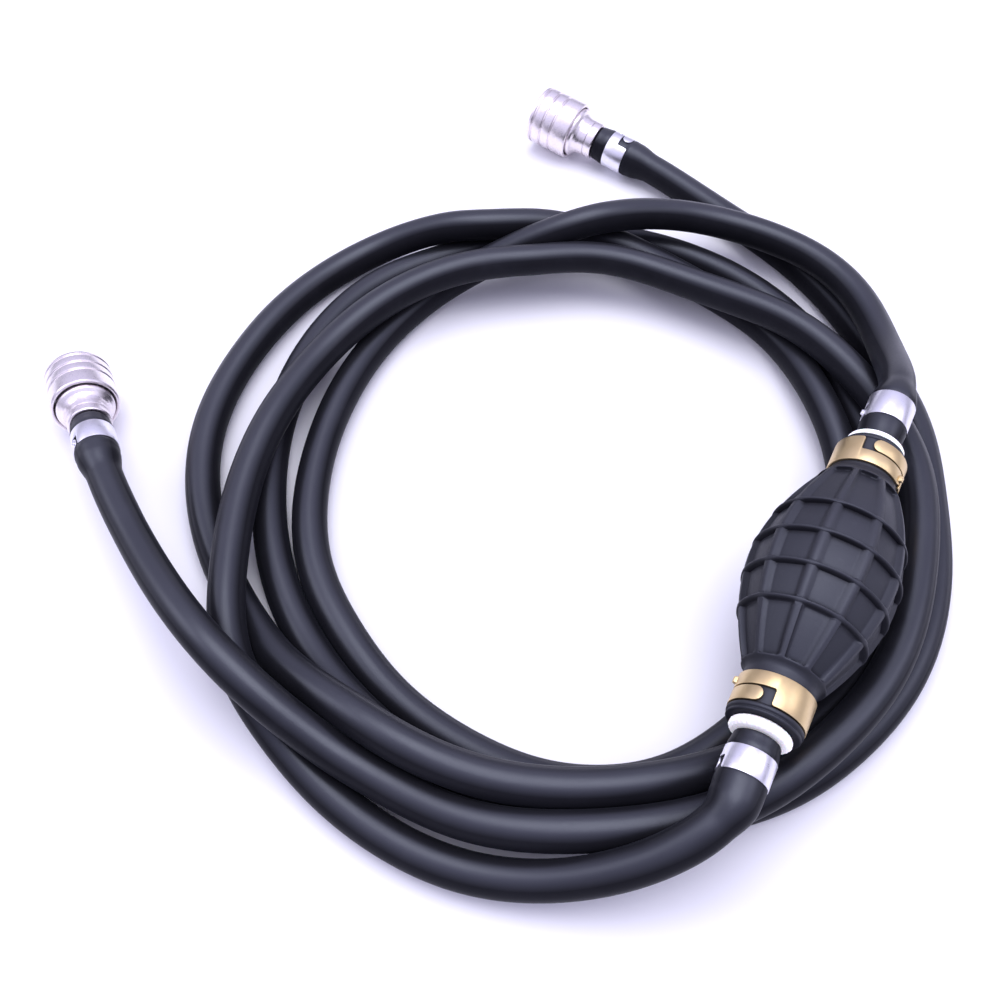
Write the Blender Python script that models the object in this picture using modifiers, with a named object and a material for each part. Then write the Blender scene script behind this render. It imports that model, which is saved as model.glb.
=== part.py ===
"""Siphon bulb pump: a ribbed squeeze bulb with a check valve at each end, a hose on either side laid
in a loose coil, and a quick-connect coupler on each free end. Millimetres in the constants, metres
in the scene, +Z up, floor at z = 0, plan origin at the middle of the whole line."""

import math
from typing import NamedTuple

import bmesh
import bpy
import numpy as np
from mathutils import Matrix, Vector

MM = 0.001


def unit(azimuth, pitch):
    """Unit vector from degrees round from +X and degrees above level."""
    turn, rise = math.radians(azimuth), math.radians(pitch)
    flat = math.cos(rise)
    return np.array([math.cos(turn) * flat, math.sin(turn) * flat, math.sin(rise)])


# ---- driving dimensions, mm ----
HOSE_R = 5.45
HOSE_WALL = 2.5
HOSE_BARB_R = 6.7  # swollen over a barb
HOSE_BARB_LEN = 17.0
HOSE_EASE = ((3, 6.2), (7, HOSE_R))  # distance past the barbs, outside radius
HOSE_PLAIN_FROM = 32  # from a hose end to its first evenly spaced ring
HOSE_RING_STEP = 18.5

BULB_R = 20.0  # between its ribs
BULB_FALL = 12.3  # radius lost at BULB_FALL_AT from the centre
BULB_FALL_AT = 37.0
BULB_FALL_POWER = 1.86
BULB_BODY = 35.6  # half length of the barrel
BULB_END = 47.2  # half length of the rubber
BULB_WALL = 3.2
BULB_BORE = 7.3  # radius of the opening in each neck
NECK_R = 9.8
HOOPS = (14.3, 3.3, -7.1, -17.3)  # centres of the raised hoops, from the engine end
HOOP_OUTLINE = ((1.1, 0.0), (0.5, 0.9), (-0.5, 0.9), (-1.1, 0.0))  # offset from centre, rise
RIB_RISE = 1.0
RIB_HALF = 33.0  # half length of the long ribs
RIB_TURN = -13.4  # degrees from straight up to the nearest rib
BULB_MERIDIANS = 20

# Barbed nozzle, shared by the bulb fittings and the couplers
NOZZLE_R = 2.75
NOZZLE_BORE = 1.9
NOZZLE_PLAIN = 2.6  # straight length at the root
BARBS = 4
BARB_R = 3.2
BARB_PITCH = 3.6
BARB_LEN = 3.3
NOZZLE_TIP = 0.5  # straight length past the last barb

# Bulb fittings, measured from the bulb centre
FLANGE_FOOT = BULB_END + 0.3
FLANGE_CHAMFER = 0.2
FLANGE_TO_HOSE = 0.4
PLUG_R = 7.0
PLUG_BORE = 4.8
PLUG_END = 32.0
VALVE_STOP_R = 4.5  # cage and seat ring
VALVE_STOP_FROM = 32.4
CAGE_PORT_R = 1.0
CAGE_PORT_AT = 2.75
VALVE_SPRING_R = 2.9

BULB_CLAMP_AT = 40.2
BULB_CLAMP_WIDTH = 8.7

# Couplers, measured back from the mouth
COUPLER_R = 11.0
NOZZLE_ROOT = 27.0
HOSE_START = NOZZLE_ROOT + 0.3
COUPLER_CLAMP_AT = 36.6
COUPLER_CLAMP_WIDTH = 8.0
BALLS = 6
BALL_R = 1.6
BALL_DEPTH = 5.0
BALL_CIRCLE_R = 6.4
BALL_PITCH = 360 / BALLS  # degrees
BALL_FIRST = 30  # degrees
DRILL_R = 1.85
DRILL_HALF = 9.5

# ---- placing in the lay plan, mm and degrees ----
BULB_CENTRE = np.array((88.2, -49.6, 33.3))
BULB_ALONG = unit(63.3, 3.0)  # towards the engine end, which lies on more of the coil
TANK_MOUTH = np.array((-141.6, 42.5, 10.8))
TANK_OUT = unit(113.2, -10.4)  # rests on its front rim, with the hose bridging down to it
ENGINE_MOUTH = np.array((15.7, 178.4, 12.8))
ENGINE_OUT = unit(148.3, 6.3)  # rests on its rear rim
PLAN_ORIGIN = np.array((-4.43, 28.49, 0.0))  # scene origin in the lay plan

# Plan x, y and height of the hose centre lines, about every 36 mm, from tank to engine
TANK_LAY = [
    (-111, -22, 20), (-93, -49, 25), (-76, -69, 29), (-45, -90, 13), (-12, -105, 12),
    (23, -112, 14), (58, -106, 15), (88, -89, 17), (111, -64, 16), (123, -31, 16), (129, 4, 16),
    (117, 38, 16), (93, 65, 17), (62, 82, 16), (28, 94, 19), (-8, 88, 19), (-40, 71, 15),
    (-63, 44, 14), (-76, 10, 16), (-80, -26, 16), (-73, -61, 14), (-55, -91, 6), (-27, -113, 6),
    (7, -124, 8), (39, -116, 21),
]
ENGINE_LAY = [
    (124, 37, 23), (124, 74, 17), (101, 101, 16), (68, 113, 17), (34, 104, 25), (1, 97, 13),
    (-30, 80, 6), (-50, 47, 6), (-59, 12, 6), (-58, -24, 6), (-46, -60, 6), (-17, -89, 6),
    (21, -102, 6), (57, -90, 6), (83, -64, 6), (100, -32, 6), (110, 2, 7), (108, 40, 9),
    (91, 72, 6), (63, 92, 9), (31, 108, 15), (-4, 104, 16), (-37, 109, 6), (-67, 90, 6),
    (-86, 60, 6), (-96, 26, 6), (-92, -10, 6), (-77, -43, 6), (-54, -70, 14), (-26, -91, 20),
    (9, -104, 17), (46, -101, 16), (78, -86, 10), (106, -64, 6), (122, -31, 7), (124, 4, 6),
    (113, 39, 6), (102, 73, 6), (77, 99, 6), (44, 113, 6), (8, 114, 6), (-26, 103, 6),
    (-53, 80, 6), (-69, 47, 6), (-74, 11, 6), (-69, -24, 6), (-53, -57, 6), (-28, -83, 10),
    (3, -104, 6), (38, -107, 6), (73, -101, 6), (102, -79, 6), (122, -51, 6), (130, -17, 6),
    (138, 19, 6), (130, 53, 6), (117, 87, 6), (95, 116, 6), (69, 142, 6),
]
COUPLER_STATIONS = (0, 15, 30, 44)  # straight guide points back from a mouth
BULB_STATIONS = (-66, -52, -36, -18, 0, 18, 36, 52, 69)  # straight guide points along the bulb

# Parts of the line that stay straight while the coil is eased
COUPLER_HELD = 45.0
BULB_HELD = (-71, 73)
BULB_HELD_OFF = 1.5  # largest distance off the bulb's axis

# Room the line needs: (within this distance of a mouth, radius), widest last
COUPLER_ROOM = ((48, 8.0), (20, COUPLER_R))
NECK_ROOM_FROM, NECK_ROOM = 34, 12.0
NOZZLE_ROOM_FROM, NOZZLE_ROOM = 50, 8.2
RIB_ROOM = 1.5  # over the bulb's radius

# Easing the coil apart
LAY_SAMPLE = 1.0  # spacing of the first reading of the spline
LAY_STEP = 6.0  # spacing of the eased points
LAY_GAP = 1.25  # kept between neighbouring runs
NEAR = 60.0  # pairs further apart than this can't meet
SAME_RUN = 45.0  # pairs closer than this along the line are neighbours
EASE_STEPS = 420
SETTLE_FROM = 360  # from here the lay no longer pulls, and runs are parted harder
PART_PASSES, SETTLE_PASSES = 2, 5  # parting passes a step, before and after
STIFFNESS = 0.35
LEVELLING = 0.05  # how far heights even out each step
LAY_PULL = 0.02  # share of the way back to the lay each step
PART_SHARE = 0.42  # share of an overlap each point gives way
PART_GAIN = 1.5


# ---- centre line ----
def arc(points):
    """Distance along the points, from the first."""
    return np.concatenate([[0.0], np.cumsum(np.linalg.norm(np.diff(points, axis=0), axis=1))])


def spline(points, knots, at):
    """Natural cubic spline through points at knots, read at the given places."""
    count = len(knots)
    step = np.diff(knots)
    matrix = np.zeros((count, count))
    right = np.zeros((count, points.shape[1]))
    matrix[0, 0] = matrix[-1, -1] = 1.0
    for i in range(1, count - 1):
        matrix[i, i - 1 : i + 2] = step[i - 1], 2 * (step[i - 1] + step[i]), step[i]
        slope_after = (points[i + 1] - points[i]) / step[i]
        slope_before = (points[i] - points[i - 1]) / step[i - 1]
        right[i] = 6 * (slope_after - slope_before)
    curvature = np.linalg.solve(matrix, right)
    k = np.clip(np.searchsorted(knots, at, side="right") - 1, 0, count - 2)
    span = step[k][:, None]
    low = ((knots[k + 1] - at) / step[k])[:, None]
    high = ((at - knots[k]) / step[k])[:, None]
    cubic = (low**3 - low) * curvature[k] + (high**3 - high) * curvature[k + 1]
    return low * points[k] + high * points[k + 1] + cubic * span**2 / 6


def bulb_radius(along):
    """Outside radius of the bulb, without hoops and ribs, at a distance from its centre."""
    along = abs(along)
    if along > BULB_BODY:
        return NECK_R
    fall = BULB_FALL * (along / BULB_FALL_AT) ** BULB_FALL_POWER
    return max(NECK_R + 0.2, BULB_R - fall)


def bulb_room(along):
    if abs(along) > NOZZLE_ROOM_FROM:
        return NOZZLE_ROOM
    if abs(along) > NECK_ROOM_FROM:
        return NECK_ROOM
    return bulb_radius(along) + RIB_ROOM


def guide_points():
    """Spline points for the whole line, tank mouth to engine mouth."""
    chain = [TANK_MOUTH - TANK_OUT * s for s in COUPLER_STATIONS]
    chain += [np.array(point, float) for point in TANK_LAY]
    chain += [BULB_CENTRE + BULB_ALONG * s for s in BULB_STATIONS]
    chain += [np.array(point, float) for point in ENGINE_LAY]
    chain += [ENGINE_MOUTH - ENGINE_OUT * s for s in COUPLER_STATIONS[::-1]]
    return np.array(chain)


def even_line(chain):
    """The spline through the chain at even steps, and the distance along it at each point."""
    knots = arc(chain)
    fine = spline(chain, knots, np.linspace(0, knots[-1], int(knots[-1] / LAY_SAMPLE)))
    length = arc(fine)
    at = np.linspace(0, length[-1], int(round(length[-1] / LAY_STEP)) + 1)
    return np.stack([np.interp(at, length, fine[:, axis]) for axis in range(3)], -1), at


def second_difference(values):
    """Half the second difference, zero at both ends."""
    out = np.zeros_like(values)
    out[1:-1] = (values[:-2] + values[2:]) / 2 - values[1:-1]
    return out


def part_runs(points, radius, free, first, second, need):
    """One pass pushing each pair that is closer than it needs apart, then up off the floor."""
    between = points[first] - points[second]
    distance = np.maximum(np.linalg.norm(between, axis=1), 1e-6)
    short = need - distance
    hit = short > 0
    push = between[hit] / distance[hit][:, None] * (short[hit] * PART_SHARE)[:, None]
    move = np.zeros_like(points)
    times = np.zeros(len(points))
    np.add.at(move, first[hit], push)
    np.add.at(move, second[hit], -push)
    np.add.at(times, first[hit], 1)
    np.add.at(times, second[hit], 1)
    move /= np.maximum(times, 1)[:, None]
    points[free] += PART_GAIN * move[free]
    points[free, 2] = np.maximum(points[free, 2], radius[free])


def ease_apart(points, at, radius, free):
    """Smooths the free points in place and parts runs that cross or touch."""
    goal = points.copy()
    distance = np.linalg.norm(points[:, None] - points[None], axis=2)
    first, second = np.nonzero(np.triu(distance < NEAR, 1))
    other_run = np.abs(at[first] - at[second]) > SAME_RUN
    first, second = first[other_run], second[other_run]
    need = radius[first] + radius[second] + LAY_GAP
    for step in range(EASE_STEPS):
        bend = second_difference(points)
        points[free] -= STIFFNESS * second_difference(bend)[free]
        points[free, 2] += LEVELLING * bend[free, 2]
        if step < SETTLE_FROM:
            points[free] += LAY_PULL * (goal[free] - points[free])
        for _ in range(PART_PASSES if step < SETTLE_FROM else SETTLE_PASSES):
            part_runs(points, radius, free, first, second, need)


def lay_line():
    """The centre line in the lay plan, and the index of its point nearest the bulb's centre."""
    points, at = even_line(guide_points())
    from_end = at[-1] - at
    along = (points - BULB_CENTRE) @ BULB_ALONG
    off_axis = points - BULB_CENTRE - along[:, None] * BULB_ALONG
    on_bulb = np.linalg.norm(off_axis, axis=1) < BULB_HELD_OFF
    on_bulb &= (along > BULB_HELD[0]) & (along < BULB_HELD[1])
    middle = int(np.argmin(np.linalg.norm(points - BULB_CENTRE, axis=1)))
    at_tank, at_engine = at < COUPLER_HELD, at > at[-1] - COUPLER_HELD
    points[on_bulb] = BULB_CENTRE + along[on_bulb][:, None] * BULB_ALONG
    points[at_tank] = TANK_MOUTH - TANK_OUT * at[at_tank][:, None]
    points[at_engine] = ENGINE_MOUTH - ENGINE_OUT * from_end[at_engine][:, None]
    radius = np.full(len(points), HOSE_R)
    for reach, room in COUPLER_ROOM:
        radius[(at < reach) | (at > at[-1] - reach)] = room
    for i in np.nonzero(on_bulb)[0]:
        radius[i] = bulb_room(along[i])
    ease_apart(points, at, radius, ~(on_bulb | at_tank | at_engine))
    return points, middle


# ---- scene ----
for old in list(bpy.data.objects):
    bpy.data.objects.remove(old, do_unlink=True)
PARTS = bpy.data.collections.new("siphon_bulb_pump")
CUTTERS = bpy.data.collections.new("cutters")
bpy.context.scene.collection.children.link(PARTS)
bpy.context.scene.collection.children.link(CUTTERS)


class Finish(NamedTuple):
    colour: tuple
    metallic: float
    roughness: float


HOSE_RUBBER = Finish(colour=(0.045, 0.045, 0.055), metallic=0.0, roughness=0.45)
BULB_RUBBER = HOSE_RUBBER._replace(roughness=0.55)
NICKEL = Finish(colour=(0.72, 0.68, 0.70), metallic=1.0, roughness=0.3)
STEEL = Finish(colour=(0.66, 0.66, 0.70), metallic=1.0, roughness=0.3)
BAND_STEEL = STEEL._replace(roughness=0.25)
BALL_STEEL = STEEL._replace(roughness=0.15)
BRASS = Finish(colour=(0.83, 0.66, 0.36), metallic=1.0, roughness=0.3)
NYLON = Finish(colour=(0.86, 0.85, 0.80), metallic=0.0, roughness=0.5)
VALVE_RED = Finish(colour=(0.55, 0.09, 0.06), metallic=0.0, roughness=0.5)
SEAL = Finish(colour=(0.03, 0.03, 0.03), metallic=0.0, roughness=0.6)


def material(name, finish):
    made = bpy.data.materials.new(name)
    made.use_nodes = True
    inputs = made.node_tree.nodes["Principled BSDF"].inputs
    inputs["Base Color"].default_value = (*finish.colour, 1)
    inputs["Metallic"].default_value = finish.metallic
    inputs["Roughness"].default_value = finish.roughness
    return made


def move_to(collection, obj):
    for current in list(obj.users_collection):
        current.objects.unlink(obj)
    collection.objects.link(obj)
    return obj


def add_part(obj, finish):
    """Files a visible piece, with a material named after it."""
    obj.data.materials.clear()
    obj.data.materials.append(material(obj.name, finish))
    return move_to(PARTS, obj)


def add_cutter(obj):
    """Files a hidden boolean helper."""
    obj.hide_render = True
    obj.display_type = "WIRE"
    return move_to(CUTTERS, obj)


# ---- frames and shapes ----
def frame_at(origin, axis):
    """Local +Z along axis, local +X as near up as it gets."""
    z = Vector(axis).normalized()
    up = Vector((0, 0, 1))
    x = (up - z * z.dot(up)).normalized()
    frame = Matrix((x, z.cross(x), z)).transposed().to_4x4()
    frame.translation = Vector(origin) * MM
    return frame


def shift(x, y, z):
    return Matrix.Translation(Vector((x, y, z)) * MM)


def polar_shift(radius, degrees, z=0.0):
    angle = math.radians(degrees)
    return shift(radius * math.cos(angle), radius * math.sin(angle), z)


def claim_primitive(name, place, shape):
    """Names and places the primitive just added, its mesh first transformed by shape."""
    obj = bpy.context.active_object
    obj.name = name
    obj.data.transform(shape)
    obj.matrix_world = place
    return obj


def turned(name, place, finish, steps, outer, inner=None):
    """A piece turned about local Z. outer and inner list (z, radius) from high z to low; without
    inner it is solid."""
    if inner is None:
        loop = [(outer[0][0], 0.0), *outer, (outer[-1][0], 0.0)]
    else:
        loop = [*outer, *inner[::-1]]
    edges = [(i, i + 1) for i in range(len(loop) - 1)]
    if inner is not None:
        edges.append((len(loop) - 1, 0))
    mesh = bpy.data.meshes.new(name)
    mesh.from_pydata([(r * MM, 0, z * MM) for z, r in loop], edges, [])
    obj = bpy.data.objects.new(name, mesh)
    obj.matrix_world = place
    screw = obj.modifiers.new("turn", "SCREW")
    screw.steps = screw.render_steps = steps
    screw.use_merge_vertices = True
    screw.merge_threshold = 0.00001
    screw.use_smooth_shade = True
    return add_part(obj, finish)


def boolean(obj, tool, operation):
    modifier = obj.modifiers.new(operation.lower(), "BOOLEAN")
    modifier.operation = operation
    modifier.solver = "EXACT"
    modifier.object = tool


def drill(obj, name, place, radius, low, high):
    """An eight-sided hole along the local Z of place."""
    bpy.ops.mesh.primitive_cylinder_add(vertices=8, radius=radius * MM, depth=(high - low) * MM)
    tool = claim_primitive(name, place, shift(0, 0, (high + low) / 2))
    boolean(obj, add_cutter(tool), "DIFFERENCE")


def spring(name, place, low, high, radius, wire_radius, turns):
    """A wire spring between low and high along local Z."""
    curve = bpy.data.curves.new(name, "CURVE")
    curve.dimensions = "3D"
    curve.bevel_depth = wire_radius * MM
    curve.bevel_resolution = 0
    curve.use_fill_caps = True
    points_per_turn = 9
    end_margin = 1.1 * wire_radius
    count = int(turns * points_per_turn)
    line = curve.splines.new("POLY")
    line.points.add(count)
    for i in range(count + 1):
        part = i / count
        angle = 2 * math.pi * turns * part
        z = low + end_margin + (high - low - 2 * end_margin) * part
        x, y = radius * math.cos(angle), radius * math.sin(angle)
        line.points[i].co = (x * MM, y * MM, z * MM, 1)
    obj = bpy.data.objects.new(name, curve)
    obj.matrix_world = place
    add_part(obj, STEEL)


def seal_ring(name, place, z, major, minor, around, section):
    bpy.ops.mesh.primitive_torus_add(
        major_segments=around,
        minor_segments=section,
        major_radius=major * MM,
        minor_radius=minor * MM,
    )
    add_part(claim_primitive(name, place, shift(0, 0, z)), SEAL)


# Band clamps; tab is the folded lock tab's width across, length along the axis, and height
BULB_BAND = dict(inside=10.1, thickness=0.55, steps=20, tab=(3.4, 3.0, 0.8), finish=BRASS)
HOSE_BAND = dict(inside=7.05, thickness=0.4, steps=14, tab=(2.6, 2.4, 0.5), finish=BAND_STEEL)
TAB_EXTRA = 0.5  # added to the tab's height
TAB_SINK = 0.3  # tab centre lowered by this
TAB_BEVEL = 0.35


def band(name, place, centre, width, inside, thickness, steps, tab, finish):
    """A band clamp with its folded lock tab."""
    top, low = centre + width / 2, centre - width / 2
    outside = inside + thickness
    ring = turned(
        name, place, finish, steps, [(top, outside), (low, outside)], [(top, inside), (low, inside)]
    )
    across, along, height = tab
    bpy.ops.mesh.primitive_cube_add(size=1)
    size = Vector((height + TAB_EXTRA, across, along)) * MM
    shape = shift(outside + height / 2 - TAB_SINK, 0, centre) @ Matrix.Diagonal((*size, 1))
    lug = add_cutter(claim_primitive(name + "_lug", place, shape))
    bevel = lug.modifiers.new("round", "BEVEL")
    bevel.width = TAB_BEVEL * MM
    bevel.segments = 1
    boolean(ring, lug, "UNION")


def nozzle(root, first_barb):
    """Outline (distance, radius) of a barbed nozzle from its root out, barbs small end outwards."""
    rows = [(root, NOZZLE_R), (root + NOZZLE_PLAIN, NOZZLE_R)]
    for k in range(BARBS):
        start = first_barb + k * BARB_PITCH
        rows += [(start, BARB_R), (start + BARB_LEN, NOZZLE_R)]
    return rows + [(rows[-1][0] + NOZZLE_TIP, NOZZLE_R)]


# ---- hoses ----
def hose_rings(start, end):
    """Ring places from start to end, closer over the barbs, and the outside radius at each."""
    plain_start, plain_end = start + HOSE_PLAIN_FROM, end - HOSE_PLAIN_FROM
    count = int(round((plain_end - plain_start) / HOSE_RING_STEP)) + 1
    ease = [(0, HOSE_BARB_R), (HOSE_BARB_LEN, HOSE_BARB_R)]
    ease += [(HOSE_BARB_LEN + past, radius) for past, radius in HOSE_EASE]
    rings = [(start + s, radius) for s, radius in ease]
    rings += [(s, HOSE_R) for s in np.linspace(plain_start, plain_end, count)]
    rings += [(end - s, radius) for s, radius in ease[::-1]]
    return rings


def swept_mesh(name, line, rings):
    """An open eight-sided tube along the line, welded and smooth."""
    centres = spline(line, arc(line), np.array([s for s, _ in rings]))
    curve = bpy.data.curves.new(name + "_path", "CURVE")
    curve.dimensions = "3D"
    curve.bevel_depth = MM
    curve.bevel_resolution = 2
    curve.twist_mode = "Z_UP"
    run = curve.splines.new("POLY")
    run.points.add(len(rings) - 1)
    for point, centre, (_, radius) in zip(run.points, centres, rings):
        point.co = (*(centre * MM), 1)
        point.radius = radius
    guide = bpy.data.objects.new(name + "_path", curve)
    bpy.context.scene.collection.objects.link(guide)
    bpy.context.view_layer.update()
    graph = bpy.context.evaluated_depsgraph_get()
    mesh = bpy.data.meshes.new_from_object(guide.evaluated_get(graph))
    mesh.name = name
    bpy.data.objects.remove(guide, do_unlink=True)
    bm = bmesh.new()
    bm.from_mesh(mesh)
    bmesh.ops.remove_doubles(bm, verts=bm.verts, dist=0.00001)
    for face in bm.faces:
        face.smooth = True
    bm.to_mesh(mesh)
    bm.free()
    return mesh


def hose(name, line, start, end):
    """Rubber tube between two places on the line, open at both ends, the wall grown inwards."""
    obj = bpy.data.objects.new(name, swept_mesh(name, line, hose_rings(start, end)))
    wall = obj.modifiers.new("wall", "SOLIDIFY")
    wall.thickness = HOSE_WALL * MM
    wall.offset = -1
    wall.use_even_offset = False
    add_part(obj, HOSE_RUBBER)


# ---- bulb ----
def bulb_outer():
    rows = [(BULB_END, NECK_R), (BULB_BODY, NECK_R)]
    rows += [(z, bulb_radius(z)) for z in (35.0, 29.0, 21.0)]
    for hoop in HOOPS:
        rows += [(hoop + off, bulb_radius(hoop + off) + rise) for off, rise in HOOP_OUTLINE]
    rows += [(z, bulb_radius(z)) for z in (-23.5, -30.0, -35.0)]
    return rows + [(-BULB_BODY, NECK_R), (-BULB_END, NECK_R)]


def bulb_inner():
    bore_end = 33.0
    rows = [(BULB_END, BULB_BORE), (bore_end, BULB_BORE)]
    rows += [(z, bulb_radius(z) - BULB_WALL) for z in (26.0, 17.0, 7.0, -7.0, -17.0, -26.0)]
    return rows + [(-bore_end, BULB_BORE), (-BULB_END, BULB_BORE)]


def rib_rise(z):
    return RIB_RISE * (1 - (abs(z) / RIB_HALF) ** 8) if abs(z) < RIB_HALF else 0.0


def bulb_shell(place):
    """The rubber bulb, with every second meridian raised to make the long ribs."""
    outer = bulb_outer()
    ribbed = [(z, r + rib_rise(z)) for z, r in outer]
    inner = bulb_inner()[::-1]
    bm = bmesh.new()
    meridians = []
    for k in range(BULB_MERIDIANS):
        angle = 2 * math.pi * k / BULB_MERIDIANS
        loop = (ribbed if k % 2 == 0 else outer) + inner
        x, y = math.cos(angle), math.sin(angle)
        meridians.append([bm.verts.new((r * x * MM, r * y * MM, z * MM)) for z, r in loop])
    for k, here in enumerate(meridians):
        there = meridians[(k + 1) % BULB_MERIDIANS]
        for i in range(len(here)):
            j = (i + 1) % len(here)
            bm.faces.new((here[i], here[j], there[j], there[i]))
    bmesh.ops.recalc_face_normals(bm, faces=bm.faces)
    for face in bm.faces:
        face.smooth = True
    mesh = bpy.data.meshes.new("bulb_shell")
    bm.to_mesh(mesh)
    bm.free()
    obj = bpy.data.objects.new("bulb_shell", mesh)
    obj.matrix_world = place
    add_part(obj, BULB_RUBBER)


class BulbSide(NamedTuple):
    """One end of the bulb; distances are from the bulb's centre."""

    name: str
    run: str  # the hose on this side
    flange: float  # flange thickness
    flange_r: float
    bore_cone: tuple  # where the narrow bore ends, and where the wide one starts
    clamp_at: float
    clamp_width: float

    @property
    def face(self):
        """The flange's outer face."""
        return FLANGE_FOOT + self.flange

    @property
    def hose_end(self):
        return self.face + FLANGE_TO_HOSE


INLET = BulbSide("inlet", "tank", 2.6, 8.4, (46.2, 44.0), clamp_at=58.8, clamp_width=7.0)
OUTLET = BulbSide("outlet", "engine", 1.8, 7.9, (46.0, 45.2), clamp_at=61.6, clamp_width=9.0)


def bulb_fitting(side, place):
    """The barbed fitting plugged into one neck of the bulb."""
    barbed = nozzle(side.face, side.face + 3.0)[::-1]
    flange_edge = side.flange_r - FLANGE_CHAMFER
    plug = [
        (side.face - FLANGE_CHAMFER, flange_edge),
        (FLANGE_FOOT + FLANGE_CHAMFER, side.flange_r),
        (FLANGE_FOOT, flange_edge),
        (BULB_END + 0.1, PLUG_R),
        (PLUG_END, PLUG_R),
    ]
    narrow_end, wide_start = side.bore_cone
    bore = [(barbed[0][0], NOZZLE_BORE), (narrow_end, NOZZLE_BORE)]
    bore += [(wide_start, PLUG_BORE), (PLUG_END, PLUG_BORE)]
    turned(side.name + "_fitting", place, NYLON, 16, barbed + plug, bore)


def bulb_side(side, place):
    band(side.name + "_bulb_clamp", place, BULB_CLAMP_AT, BULB_CLAMP_WIDTH, **BULB_BAND)
    hose_clamp = side.run + "_hose_bulb_clamp"
    band(hose_clamp, place, side.clamp_at, side.clamp_width, **HOSE_BAND)
    bulb_fitting(side, place)


def inlet_valve(place):
    """The disc rests on the cone and lifts towards the bulb."""
    disc = [(44.8, 3.3), (43.0, 4.3), (41.8, 4.3), (41.5, 1.1), (38.4, 1.0)]
    turned("inlet_valve_disc", place, VALVE_RED, 12, disc)
    spring("inlet_valve_spring", place, 34.2, 41.3, VALVE_SPRING_R, wire_radius=0.3, turns=4.0)
    outline = [(34.0, VALVE_STOP_R), (VALVE_STOP_FROM, VALVE_STOP_R)]
    cage = turned("inlet_valve_cage", place, NYLON, 12, outline)
    for k in range(4):
        spot = place @ polar_shift(CAGE_PORT_AT, 45 + 90 * k)
        drill(cage, "cage_port_%d" % (k + 1), spot, CAGE_PORT_R, 31.0, 35.5)


def outlet_valve(place):
    """The disc rests on the seat ring and lifts towards the engine."""
    ring_top, ring_bore = 34.4, 2.4
    turned(
        "outlet_valve_seat_ring", place, NYLON, 12,
        [(ring_top, VALVE_STOP_R), (VALVE_STOP_FROM, VALVE_STOP_R)],
        [(ring_top, ring_bore), (VALVE_STOP_FROM, ring_bore)],
    )
    disc = [(38.9, 1.0), (36.3, 1.1), (36.0, 3.9), (34.7, 3.9)]
    turned("outlet_valve_disc", place, VALVE_RED, 12, disc)
    spring("outlet_valve_spring", place, 36.4, 45.0, VALVE_SPRING_R, wire_radius=0.3, turns=5.0)


# ---- couplers ----
# Outlines as (depth behind the mouth, radius)
BODY_OUTER = [
    (0, 7.6), (0.3, 7.9), (1.0, 7.9), (1.0, 7.1), (2.0, 7.1), (2.0, 7.9), (16.4, 7.9),
    (16.4, 9.3), (18.6, 9.3), (21.4, 6.7), (23.6, 6.7),
]
BODY_INNER = [
    (0, 5.4), (0.3, 5.2), (6.6, 5.2), (6.6, 6.2), (8.3, 6.2), (8.3, 5.2), (9.2, 5.2),
    (10.4, 3.4), (11.2, 3.4), (12.2, 5.6), (23.6, 5.6),
]
SLEEVE_OUTER = [
    (0.3, 10.5), (0.8, COUPLER_R), (1.7, COUPLER_R), (2.0, 10.5), (2.3, COUPLER_R),
    (5.8, COUPLER_R), (6.1, 10.5), (6.4, COUPLER_R), (9.9, COUPLER_R), (10.2, 10.5),
    (10.5, COUPLER_R), (17.0, COUPLER_R), (17.4, 10.6),
]
SLEEVE_INNER = [(0.3, 9.1), (2.4, 9.1), (5.0, 8.3), (7.5, 8.3), (7.5, 9.75), (17.4, 9.75)]
SNAP_RING_OUTER = [(1.15, 8.7), (1.85, 8.7)]
SNAP_RING_INNER = [(1.15, 7.45), (1.85, 7.45)]
ADAPTER_OUTER = [
    (18.7, 5.2), (23.9, 5.2), (23.9, 6.1), (24.2, 6.4), (26.7, 6.4), (NOZZLE_ROOT, 6.1),
    *nozzle(NOZZLE_ROOT, NOZZLE_ROOT + NOZZLE_PLAIN),
]
ADAPTER_INNER = [(18.7, NOZZLE_BORE), (ADAPTER_OUTER[-1][0], NOZZLE_BORE)]
POPPET = [
    (6.2, 1.7), (6.5, 2.0), (11.4, 2.0), (12.6, 4.2), (14.0, 4.2), (14.0, 2.2), (15.2, 2.0),
]

# Name, finish, steps, outer and inner outline
COUPLER_TURNED = (
    ("sleeve", NICKEL, 20, SLEEVE_OUTER, SLEEVE_INNER),
    ("snap_ring", STEEL, 16, SNAP_RING_OUTER, SNAP_RING_INNER),
    ("barb_adapter", NICKEL, 14, ADAPTER_OUTER, ADAPTER_INNER),
    ("valve_poppet", BRASS, 12, POPPET, None),
)


def turned_behind(name, place, finish, steps, outer, inner):
    """A turned piece whose outlines are given as depths behind the mouth."""
    outer, inner = (rows and [(-depth, r) for depth, r in rows] for rows in (outer, inner))
    return turned(name, place, finish, steps, outer, inner)


def coupler_body(name, place):
    """The body, with each drill passing right through to make two opposite ball holes."""
    body = turned_behind(name + "body", place, NICKEL, 16, BODY_OUTER, BODY_INNER)
    sideways = Matrix.Rotation(math.pi / 2, 4, "Y")
    for k in range(BALLS // 2):
        turn = Matrix.Rotation(math.radians(BALL_PITCH * k + BALL_FIRST), 4, "Z")
        spot = place @ shift(0, 0, -BALL_DEPTH) @ turn @ sideways
        drill(body, "%sball_drill_%d" % (name, k + 1), spot, DRILL_R, -DRILL_HALF, DRILL_HALF)


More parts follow.
